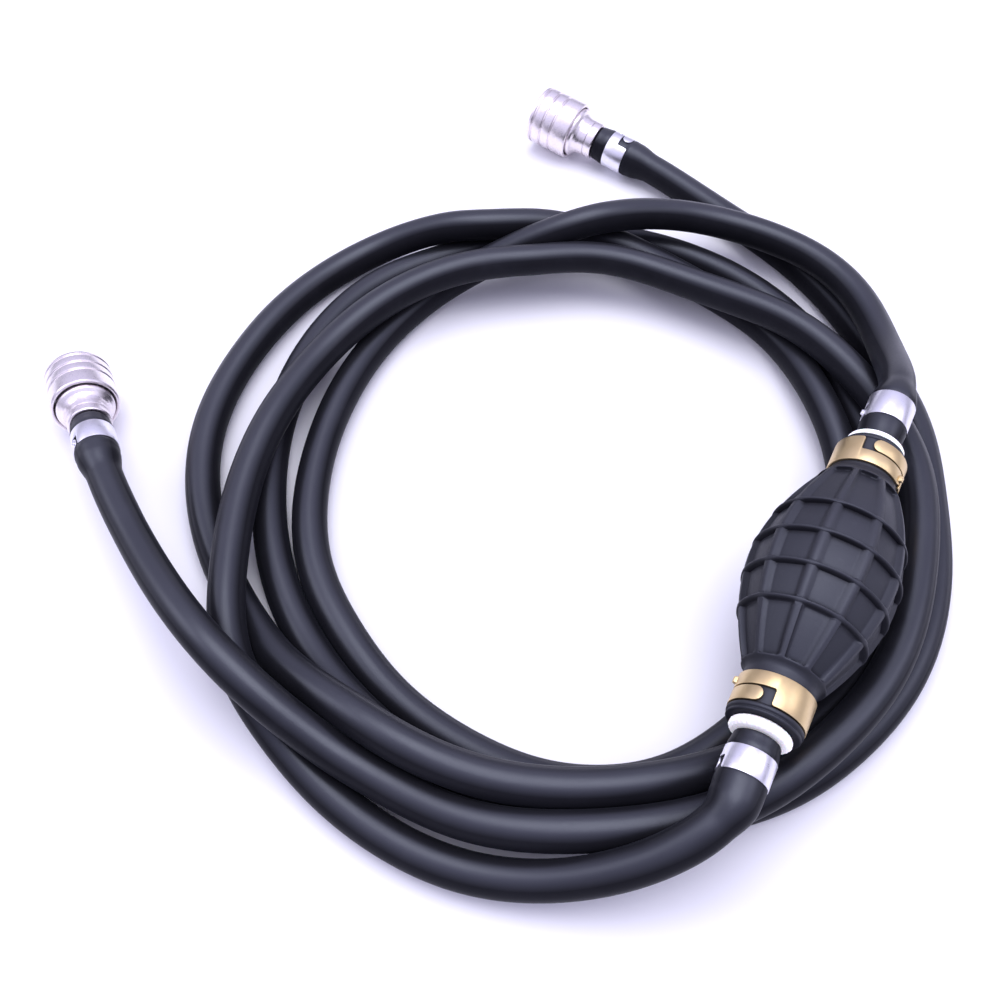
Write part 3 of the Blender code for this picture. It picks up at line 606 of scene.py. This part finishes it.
tank_end = BULB_AT - HOSE_AT_BULB["inlet"]
engine_start = BULB_AT + HOSE_AT_BULB["outlet"]
at_coupler = (COUPLER_CLAMP - HOSE_START, 3.9)
dents = [(tank_end - 29.0, 5.5, 0.9, 0.55, -0.045), (tank_end - 42.0, 7.0, -0.6, 0.6, -0.02)]  # a soft fold where it bends off the barb
hose(
    "tank_hose", HOSE_START, tank_end,
    [(0, *at_coupler), (1, HOSE_CLAMPS["tank"][0] - HOSE_AT_BULB["inlet"], 3.4)], dents,
)  # fmt: skip
hose(
    "engine_hose", engine_start, LENGTH[-1] - HOSE_START,
    [(0, HOSE_CLAMPS["engine"][0] - HOSE_AT_BULB["outlet"], 4.4), (1, *at_coupler)],
)  # fmt: skip

# ------------------------------------------------------------------ bulb
BULB_PLACE = frame_at(CENTRE, ALONG)
HOOPS = (14.3, 3.3, -7.1, -17.3)
RIBS = 10
RIB_HALF = math.radians(3.7)
RIB_TURN = math.radians(RIB_TURN_DEG)
POCKET = 1.05
COLLAR = 31.6  # the pockets end here
SECTOR = 2 * math.pi / RIBS


def step(x):
    x = np.clip(x, 0, 1)
    return x * x * x * (x * (6 * x - 15) + 10)


def bulb_surface():
    rows = [47.2, 47.17, 47.05, 46.85, 46.65, 46.5, 46.35, 46.2, 46.05, 45.9, 45.7, 45.4, 45.1, 44.9, 44.75, 44.6, 44.3, 42.2, 40.2, 38.2, 36.4]
    rows += [35.95, 35.6, 35.2, 34.8, 34.3, 33.8, 33.3, 32.9, 32.6, 32.3, 32.0, 31.8, 31.6, 31.4, 31.2, 31.0, 30.8, 30.5, 30.0, 29.2, 28.2]
    rows += list(np.arange(26.9, 0, -1.35))
    us = np.array(sorted(set([round(v, 3) for v in rows] + [-round(v, 3) for v in rows] + [0.0])))
    for h in HOOPS:
        us = us[np.abs(us - h) > 1.5]
        us = np.concatenate([us, h + np.array([-1.4, -1.1, -0.86, -0.68, -0.6, -0.48, -0.32, -0.12, 0.12, 0.32, 0.48, 0.6, 0.68, 0.86, 1.1, 1.4])])
    us = np.sort(us)[::-1]
    offs = np.radians([0, 1.4, 2.6, 3.1, 3.4, 3.7, 4.0, 4.3, 4.7, 5.4, 7.0, 9.5, 12.5, 15.5])
    half = np.concatenate([offs, [SECTOR / 2]])
    sector = np.concatenate([half, SECTOR - half[-2:0:-1]])
    theta = np.concatenate([sector + k * SECTOR for k in range(RIBS)])
    return us, theta


US, THETA = bulb_surface()


def envelope(u):
    """Height of the rib tops and of the plain collars."""
    a = np.abs(u)
    tops = 8.7 + 12.2 * (1 - np.abs((u - 0.6) / 37.1) ** 1.87)
    step_down = 0.55 * smooth((a - 31.4) / 1.3)
    body = np.maximum(tops - step_down, 9.95)
    neck = np.interp(
        a, [35.4, 35.9, 44.6, 44.75, 44.95, 45.2, 45.6, 45.9, 46.1, 46.25, 46.4, 46.6, 46.85, 47.05, 47.17, 47.2],
        [9.95, 9.8, 9.8, 10.0, 10.3, 10.45, 10.45, 10.3, 10.05, 9.9, 9.95, 10.12, 10.12, 9.95, 9.6, 9.3],
    )  # fmt: skip
    neck = neck - (u > 0) * 0.95 * smooth((a - 44.7) / 1.6)  # the outlet's lip is the smaller
    return np.where(a > 35.6, neck, body)


def bulb_points():
    env = envelope(US)[:, None]
    phi = (THETA[None, :] - RIB_TURN) % SECTOR
    phi = np.minimum(phi, SECTOR - phi)  # angle from the nearest rib
    across = SECTOR / 2 - phi
    flat = math.cos(SECTOR / 2) / np.cos(across)
    # pockets: sunk between ribs, hoops and collars, with nearly flat floors
    edge = RIB_HALF
    u = US[:, None]
    wall = 0.36  # mm over which a pocket's side falls
    in_rib = step((phi - edge) * env / wall)
    # the pockets end in a rounded arch below each collar
    arch = COLLAR - 1.6 * (phi / (SECTOR / 2) < 0.42) * (1 - (phi / (SECTOR / 2)) / 0.42) ** 2
    collar = step((arch - np.abs(u)) / 0.85)
    depth = POCKET + 0.55 * (1 - (flat - math.cos(SECTOR / 2)) / (1 - math.cos(SECTOR / 2)))
    sunk = in_rib * collar
    r = env - sunk * depth
    foot_at = (phi - edge) * env / wall - 1.0
    r = r - 0.16 * np.exp(-((foot_at / 0.9) ** 2)) * collar  # a fine crease where each rib stands
    # hoops: a thin round wire of rubber over pockets and ribs alike
    for h in HOOPS:
        d = np.abs(u - h)
        wire = np.sqrt(np.clip(1 - (d / 0.64) ** 2, 0, 1))
        top = env + 0.30 + 0.0 * phi
        floor = env - sunk * depth
        lift = (top - floor) * 1.0
        rise = np.where(d < 0.64, wire, 0.0)
        foot = -0.10 * np.exp(-(((d - 0.86) / 0.25) ** 2))
        r = np.maximum(r, floor + lift * rise) + foot * (rise == 0) * sunk
    # small wander so nothing is machine-true
    r = r + 0.04 * np.sin(3 * THETA[None, :] + u / 11.0) * (np.abs(u) < 34)
    return r


R_BULB = bulb_points()
outer = np.stack([R_BULB * np.cos(THETA), R_BULB * np.sin(THETA), US[:, None] * np.ones(len(THETA))], -1)
inner_rows = np.array([47.2, 40.0, 33.0, 27.0, 18.0, 8.0, 0.0, -8.0, -18.0, -27.0, -33.0, -40.0, -47.2])
inner_r = np.array([7.4, 7.3, 7.3] + [bulb_radius(w) - 3.4 for w in (27, 18, 8, 0, 8, 18, 27)] + [7.3, 7.3, 7.4])
inner = np.stack(
    [inner_r[:, None] * np.cos(THETA), inner_r[:, None] * np.sin(THETA), inner_rows[:, None] * np.ones(len(THETA))], -1
)
ring = np.concatenate([outer, inner[::-1]]) * MM
mesh = grid_mesh("bulb_shell_rubber", ring, (np.arange(len(ring)) * 0.01, THETA / (2 * math.pi)), close_rows=True)
bulb = piece("bulb_shell_rubber", mesh, "bulb", None, ["bulb_shell"], BULB_PLACE, sharp=60.0)
low, high = CENTRE * MM, CENTRE * MM
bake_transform(bulb)
co = np.zeros(len(bulb.data.vertices) * 3, np.float32)
bulb.data.vertices.foreach_get("co", co)


# ------------------------------------------------------------------ clamps
def strip_outline(girth, width, tongue, notch, seam, corner):
    """The band laid flat: full width with a round-ended half-width tongue at each end, one per edge."""
    h, s = width / 2, seam / 2

    def arc_points(cx, cy, r, a0, a1, count=7):
        return [(cx + r * math.cos(a), cy + r * math.sin(a)) for a in np.linspace(a0, a1, count)]

    t = (h - s) / 2  # half height of a tongue
    left_end = -tongue + notch
    right_end = girth - 0.5
    body_end = girth - tongue
    out = []
    # upper tongue, to the left
    out += arc_points(left_end + t, s + t, t, math.pi * 0.5, math.pi * 1.5, 9)
    out += [(-0.4, s)]
    out += arc_points(0.0 - 0.0, s - corner * 0.0, 0.0001, 0, 0, 1)
    out += arc_points(corner, -h + corner, corner, math.pi, math.pi * 1.5, 4)
    # along the lower edge to the right tongue
    out += arc_points(right_end - t, -s - t, t, -math.pi / 2, math.pi / 2, 9)
    out += [(body_end + corner, -s)]
    out += arc_points(body_end + corner, -s + corner, corner, -math.pi / 2, -math.pi, 4)[1:]
    out += arc_points(body_end - corner, h - corner, corner, 0, math.pi / 2, 4)
    return out, (right_end - t * 0.6, -s - t)


def band(name, place, at, width, inside, thick, turn, look, nodes, tongue=16.4, notch=2.8, seam=0.5, flip=False, ear=(1.7, 0.26), body="line"):
    """turn is the angle, in degrees, of the longer tongue's root from the top of the clamp."""
    radius = inside + thick / 2
    girth = 2 * math.pi * radius
    turn = math.radians(turn)
    outline, tab_at = strip_outline(girth, width, tongue, notch, seam, 0.6)
    if flip:
        outline = [(x, -y) for x, y in outline]
        tab_at = (tab_at[0], -tab_at[1])
    bm = bmesh.new()
    verts = [bm.verts.new((x, y, 0)) for x, y in outline]
    bm.faces.new(verts)
    bmesh.ops.remove_doubles(bm, verts=bm.verts, dist=0.01)
    x = -tongue
    pitch = girth / 120
    while x < girth:
        geom = list(bm.verts) + list(bm.edges) + list(bm.faces)
        bmesh.ops.bisect_plane(bm, geom=geom, plane_co=(x, 0, 0), plane_no=(1, 0, 0), dist=0.001)
        x += pitch
    out = bmesh.ops.extrude_face_region(bm, geom=list(bm.faces))
    for v in out["geom"]:
        if isinstance(v, bmesh.types.BMVert):
            v.co.z = thick
    bmesh.ops.recalc_face_normals(bm, faces=bm.faces)
    uv = bm.loops.layers.uv.new("UVMap")
    for f in bm.faces:
        for l in f.loops:
            l[uv].uv = (l.vert.co.y / 20.0, l.vert.co.x / girth)
    for v in bm.verts:
        a = v.co.x / radius + turn
        r = inside + v.co.z
        v.co = Vector((r * math.cos(a), r * math.sin(a), v.co.y + at)) * MM
    bmesh.ops.recalc_face_normals(bm, faces=bm.faces)
    mesh = bpy.data.meshes.new(name)
    bm.to_mesh(mesh)
    bm.free()
    obj = bpy.data.objects.new(name, mesh)
    bpy.context.scene.collection.objects.link(obj)
    bevel = obj.modifiers.new("edge", "BEVEL")
    bevel.width = 0.13 * MM
    bevel.segments = 2
    bevel.limit_method = "ANGLE"
    bevel.angle_limit = math.radians(50)
    bpy.context.view_layer.update()
    done = bpy.data.meshes.new_from_object(obj.evaluated_get(bpy.context.evaluated_depsgraph_get()))
    bpy.data.objects.remove(obj, do_unlink=True)
    if ear:  # the folded ear that locks the band
        a = tab_at[0] / radius + turn
        lug = bmesh.new()
        bmesh.ops.create_cube(lug, size=1.0)
        size = (thick * 1.0 + 0.62, ear[0], width * ear[1])
        for v in lug.verts:
            top = v.co.x > 0
            v.co = Vector((v.co.x * size[0], v.co.y * size[1] * (0.62 if top else 1.0), v.co.z * size[2] * (0.7 if top else 1.0)))
        bmesh.ops.bevel(lug, geom=list(lug.edges), offset=0.22, segments=3, affect="EDGES", profile=0.6)
        spin = Matrix.Rotation(a, 4, "Z") @ Matrix.Translation((inside + thick + size[0] / 2 - 0.35, 0, at + tab_at[1]))
        bmesh.ops.transform(lug, matrix=Matrix.Scale(MM, 4) @ spin, verts=lug.verts)
        part = bpy.data.meshes.new(name + "_ear")
        lug.to_mesh(part)
        lug.free()
        both = bmesh.new()
        both.from_mesh(done)
        both.from_mesh(part)
        both.to_mesh(done)
        both.free()
    return piece(name, done, look, body, nodes, place, sharp=50.0)


SIDES = (("inlet", -1.0, "tank"), ("outlet", 1.0, "engine"))
TURN = {"inlet": 94.5, "outlet": 71.5, "tank": 128.0, "engine": -68.0}  # read against the top of each clamp
for side, sign, run in SIDES:
    place = frame_at(CENTRE, ALONG * sign)
    band(side + "_bulb_clamp_band", place, BULB_CLAMP_W, BULB_CLAMP_LEN, 9.85, 0.72, TURN[side], "brass", [side + "_bulb_clamp"])
    at, length = HOSE_CLAMPS[run]
    band(run + "_hose_bulb_clamp_band", place, at, length, 6.58, 0.42, TURN[run], "band", [run + "_hose_bulb_clamp"], tongue=8.0, notch=1.6, seam=0.4, ear=(1.4, 0.20))
    flange = 2.6 if side == "inlet" else 1.8
    face = BULB_END + 0.3 + flange
    barbs = []
    for k in range(4):
        tip = face + 3.0 + (3 - k) * 3.6 + 3.3
        barbs += [(tip, 2.75), (tip - 3.3, 3.2)]
    nozzle = [(face + 17.6, 2.75)] + barbs + [(face + 2.6, 2.75), (face, 2.75)]
    if side == "inlet":
        bore = [(face + 17.6, 1.9), (46.2, 1.9), (44.0, 4.8), (32.0, 4.8)]
        plug = [(face - 0.1, 7.3), (face - 0.6, 8.1), (face - 1.3, 8.45), (face - 2.1, 8.35), (BULB_END + 0.35, 8.0), (BULB_END + 0.1, 7.0), (32.0, 7.0)]

        def rough_flange(r, z, theta):
            near = np.exp(-((z - (BULB_END + 1.7)) / 1.3) ** 2) * (r > 6.8)
            n = np.sin(23 * theta + 1.3) * 0.4 + np.sin(37 * theta + 0.4 + z * 3) * 0.35 + np.sin(61 * theta + 2.0 - z * 5) * 0.3
            return r + near * 0.17 * n, z + near * 0.14 * np.sin(29 * theta + 2 * z)

        lathe("inlet_fitting_body", place, nozzle + plug, bore, "nylon_rough", "line", ["inlet_fitting"], 144, 0.25, rough_flange)
    else:
        bore = [(face + 17.6, 1.9), (46.0, 1.9), (45.2, 4.8), (32.0, 4.8)]
        plug = [(face + 0.1, 7.9), (face - 0.3, 8.5), (face - flange + 0.4, 8.5), (BULB_END + 0.3, 8.2), (BULB_END + 0.1, 7.0), (32.0, 7.0)]
        lathe("outlet_fitting_body", place, nozzle + plug, bore, "nylon", "line", ["outlet_fitting"], 96, 0.3)


# ------------------------------------------------------------------ valves and springs
def spring(name, place, low, high, radius, wire, turns, body):
    """A wire coil with closed ends."""
    count = int(turns * 30)
    t = np.linspace(0, 1, count + 1)
    a = 2 * math.pi * turns * t
    z = low + wire * 1.1 + (high - low - 2.2 * wire) * t
    centre = np.stack([radius * np.cos(a), radius * np.sin(a), z], -1)
    pts = swept(centre, np.full(len(t), wire), 10, up=(0.3, 0.2, 1)) * MM
    mesh = grid_mesh(name, pts, (t * 10, np.arange(10) / 10))
    bm = bmesh.new()
    bm.from_mesh(mesh)
    bmesh.ops.holes_fill(bm, edges=[e for e in bm.edges if e.is_boundary], sides=0)
    bm.to_mesh(mesh)
    bm.free()
    obj = piece(name + "_wire", mesh, "spring", body, [name], place)
    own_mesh(obj)
    return obj


inlet, outlet = frame_at(CENTRE, -ALONG), frame_at(CENTRE, ALONG)
lathe("inlet_valve_disc_turned", inlet, [(44.8, 3.3), (43.0, 4.3), (41.8, 4.3), (41.5, 1.1), (38.4, 1.0)], None, "valve", "inlet_valve", ["inlet_valve_disc"])
lathe("outlet_valve_disc_turned", outlet, [(38.9, 1.0), (36.3, 1.1), (36.0, 3.9), (34.7, 3.9)], None, "valve", "outlet_valve", ["outlet_valve_disc"])
spring("inlet_valve_spring", inlet, 34.2, 41.3, 2.9, 0.3, 4.0, "line")
spring("outlet_valve_spring", outlet, 36.4, 45.0, 2.9, 0.3, 5.0, "line")
lathe("outlet_valve_seat_turned", outlet, [(34.4, 4.5), (32.4, 4.5)], [(34.4, 2.4), (32.4, 2.4)], "nylon", "line", ["outlet_valve_seat_ring"])
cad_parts["inlet_valve_cage"].data.materials.clear()
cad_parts["inlet_valve_cage"].data.materials.append(M["nylon"])
cage_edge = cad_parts["inlet_valve_cage"].modifiers.new("edge", "BEVEL")
cage_edge.width = 0.12 * MM
cage_edge.segments = 2
cage_edge.limit_method = "ANGLE"

# ------------------------------------------------------------------ couplers
for run, front, out in (("tank", TANK_FRONT, unit(TANK_AZ, TANK_PITCH)), ("engine", ENGINE_FRONT, unit(ENGINE_AZ, ENGINE_PITCH))):
    mouth = np.array(front) - np.array([SHIFT[0], SHIFT[1], 0.0])
    place = frame_at(mouth, out)
    name = run + "_coupler_"

    def rows(*pairs):
        return [(-s, r) for s, r in pairs]

    lathe(
        name + "body_turned", place,
        rows((0, 7.6), (0.3, 7.9), (1.0, 7.9), (1.0, 7.1), (2.0, 7.1), (2.0, 7.9), (16.4, 7.9), (16.4, 9.3), (18.1, 9.3), (18.6, 9.0), (19.3, 8.0), (20.3, 7.35), (21.4, 7.05), (23.8, 7.0)),
        rows((0, 5.4), (0.3, 5.2), (6.6, 5.2), (6.6, 6.2), (8.3, 6.2), (8.3, 5.2), (9.2, 5.2), (10.4, 3.4), (11.2, 3.4), (12.2, 5.6), (23.6, 5.6)),
        "nickel", "line", [name + "body"], 96, 0.18,
    )  # fmt: skip
    lathe(
        name + "sleeve_turned", place,
        rows((0.3, 10.3), (0.8, 10.9), (1.75, 11.0), (1.9, 10.5), (2.3, 10.6), (2.9, 11.0), (5.85, 11.0), (6.0, 10.5), (6.4, 10.6), (7.0, 11.0), (9.95, 11.0), (10.1, 10.5), (10.5, 10.6), (11.1, 11.0), (16.7, 11.0), (17.15, 10.85), (17.4, 10.5)),
        rows((0.3, 9.1), (2.4, 9.1), (5.0, 8.3), (7.5, 8.3), (7.5, 9.75), (17.0, 9.75), (17.4, 10.1)),
        "nickel", run + "_sleeve", [name + "sleeve"], 128, 0.16,
    )  # fmt: skip
    spring(name + "sleeve_spring", place, -16.2, -7.7, 8.8, 0.38, 3.5, "line")
    lathe(name + "snap_ring_turned", place, rows((1.15, 8.7), (1.85, 8.7)), rows((1.15, 7.45), (1.85, 7.45)), "spring", "line", [name + "snap_ring"])
    barb = [(27.0, 2.75), (29.6, 2.75)]
    for k in range(4):
        s = 29.6 + 3.6 * k
        barb += [(s, 3.2), (s + 3.3, 2.75)]
    barb += [(44.2, 2.75)]
    lathe(
        name + "barb_adapter_turned", place, rows((18.7, 5.2), (23.87, 5.2), (23.87, 6.9), (23.95, 7.0), (26.5, 7.0), (26.9, 6.75), (27.0, 6.3), *barb),
        rows((18.7, 1.9), (44.2, 1.9)), "nickel", "line", [name + "barb_adapter"], 96, 0.2,
    )  # fmt: skip

    def ring_profile(z, major, minor, count=14):
        a = np.linspace(0, 2 * math.pi, count, endpoint=False)
        return [(z + minor * math.sin(t), major + minor * math.cos(t)) for t in a]

    for node, z, major, minor, body in (("bore_seal", -7.45, 5.3, 0.6, "line"), ("poppet_seal", -11.0, 2.75, 0.45, run + "_poppet")):
        loop = np.array(ring_profile(z, major, minor))
        theta = np.arange(64) * 2 * math.pi / 64
        pts = np.stack([loop[:, 1][:, None] * np.cos(theta), loop[:, 1][:, None] * np.sin(theta), loop[:, 0][:, None] * np.ones(64)], -1) * MM
        mesh = grid_mesh(name + node, pts, (np.arange(len(loop)) * 0.1, theta / (2 * math.pi)), close_rows=True)
        piece(name + node + "_ring", mesh, "seal", body, [name + node], place)
    lathe(
        name + "valve_poppet_turned", place, rows((6.2, 1.7), (6.5, 2.0), (11.4, 2.0), (12.6, 4.2), (14.0, 4.2), (14.0, 2.2), (15.2, 2.0)),
        None, "poppet", run + "_poppet", [name + "valve_poppet"],
    )  # fmt: skip
    spring(name + "valve_spring", place, -18.5, -14.2, 3.1, 0.28, 3.0, "line")
    for k in range(6):
        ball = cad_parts["%sball_%d" % (name, k + 1)]
        ball.data.materials.clear()
        ball.data.materials.append(M["spring"])
        for f in ball.data.polygons:
            f.use_smooth = True
        ball.modifiers.new("round", "SUBSURF").levels = 1
    turn, flip = (-37.0, False) if run == "tank" else (50.0, True)
    band(
        run + "_hose_coupler_clamp_band", frame_at(mouth - out * COUPLER_CLAMP, out), 0.0, 8.0, 6.58, 0.42, turn, "band",
        [run + "_hose_coupler_clamp"], tongue=9.0, notch=2.6, seam=0.4, flip=flip, ear=(1.4, 0.20),
    )  # fmt: skip

# ------------------------------------------------------------------ stage, light, camera
floor_mesh = bpy.data.meshes.new("floor")
floor_mesh.from_pydata([(-30, -30, 0), (30, -30, 0), (30, 30, 0), (-30, 30, 0)], [], [(0, 1, 2, 3)])
floor = bpy.data.objects.new("floor", floor_mesh)
floor.location.z = -0.0002
bpy.context.scene.collection.objects.link(floor)
fm = bpy.data.materials.new("floor_paper")
fm.use_nodes = True
fp = fm.node_tree.nodes["Principled BSDF"]
fp.inputs["Base Color"].default_value = (0.90, 0.90, 0.93, 1)
fp.inputs["Roughness"].default_value = 0.9
fp.inputs["Specular IOR Level"].default_value = 0.1
ft = fm.node_tree  # far from the object the paper runs into the plain backdrop
spot = ft.nodes.new("ShaderNodeTexCoord")
far = ft.nodes.new("ShaderNodeVectorMath")
far.operation = "LENGTH"
ft.links.new(spot.outputs["Object"], far.inputs[0])
fade = ft.nodes.new("ShaderNodeMapRange")
fade.interpolation_type = "SMOOTHSTEP"
fade.inputs["From Min"].default_value = 0.45
fade.inputs["From Max"].default_value = 1.3
ft.links.new(far.outputs["Value"], fade.inputs["Value"])
glow = ft.nodes.new("ShaderNodeEmission")
glow.inputs["Color"].default_value = (0.93, 0.93, 0.96, 1)
blend = ft.nodes.new("ShaderNodeMixShader")
ft.links.new(fade.outputs["Result"], blend.inputs["Fac"])
ft.links.new(fp.outputs["BSDF"], blend.inputs[1])
ft.links.new(glow.outputs["Emission"], blend.inputs[2])
ft.links.new(blend.outputs["Shader"], ft.nodes["Material Output"].inputs["Surface"])
floor_mesh.materials.append(fm)

world = bpy.data.worlds.new("studio")
bpy.context.scene.world = world
world.use_nodes = True
wt = world.node_tree
background = wt.nodes["Background"]
seen = wt.nodes.new("ShaderNodeTexCoord")
parts = wt.nodes.new("ShaderNodeSeparateXYZ")
wt.links.new(seen.outputs["Generated"], parts.inputs[0])
sky = wt.nodes.new("ShaderNodeValToRGB")  # a soft tent of light: bright overhead, dim at the horizon
stops = sky.color_ramp.elements
stops[0].position, stops[0].color = 0.0, (0.24, 0.23, 0.30, 1)
stops[1].position, stops[1].color = 1.0, (1.02, 0.99, 1.38, 1)
for at, colour in ((0.14, (0.40, 0.39, 0.52, 1)), (0.40, (0.78, 0.76, 1.02, 1))):
    e = stops.new(at)
    e.color = colour
wt.links.new(parts.outputs["Z"], sky.inputs["Fac"])
ray = wt.nodes.new("ShaderNodeLightPath")
pick = wt.nodes.new("ShaderNodeMix")
pick.data_type = "RGBA"
pick.inputs[7].default_value = (0.93, 0.93, 0.96, 1)
wt.links.new(ray.outputs["Is Camera Ray"], pick.inputs[0])
wt.links.new(sky.outputs["Color"], pick.inputs[6])
wt.links.new(pick.outputs[2], background.inputs["Color"])
background.inputs["Strength"].default_value = 1.0


def area(name, where, aim, size, power, colour=(1, 1, 1), size_y=None):
    light = bpy.data.lights.new(name, "AREA")
    light.energy = power
    light.color = colour
    light.size = size
    if size_y:
        light.shape = "RECTANGLE"
        light.size_y = size_y
    obj = bpy.data.objects.new(name, light)
    bpy.context.scene.collection.objects.link(obj)
    obj.location = where
    obj.rotation_mode = "QUATERNION"
    obj.rotation_quaternion = (Vector(aim) - Vector(where)).to_track_quat("-Z", "Y")
    return obj


area("soft_top", (0.05, 0.05, 1.25), (0, 0, 0), 1.1, 9.0, (1.0, 1.0, 1.0), 0.9)
area("soft_left", (-1.1, 0.1, 0.9), (0, 0, 0.02), 0.7, 3.0, (0.97, 0.96, 1.0))
area("soft_right", (1.1, -0.1, 0.9), (0, 0, 0.02), 0.6, 2.0, (0.96, 0.95, 1.0))

F_PX, HORIZON, CENTRE_PX = 1150.0, 1700.0, 37.2
elevation = math.atan2(HORIZON, F_PX)
distance = 12.0 * F_PX / CENTRE_PX
camera_data = bpy.data.cameras.new("camera")
camera_data.sensor_width = 36.0
camera_data.lens = 36.0 * F_PX / 1000.0
camera_data.clip_start = 0.01
camera = bpy.data.objects.new("camera", camera_data)
bpy.context.scene.collection.objects.link(camera)
camera.location = (-SHIFT[0] * MM, (-SHIFT[1] - distance * math.cos(elevation)) * MM, distance * math.sin(elevation) * MM)
camera.rotation_euler = (math.pi / 2 - elevation, 0, 0)
bpy.context.scene.camera = camera
bpy.context.scene.view_settings.view_transform = "Standard"
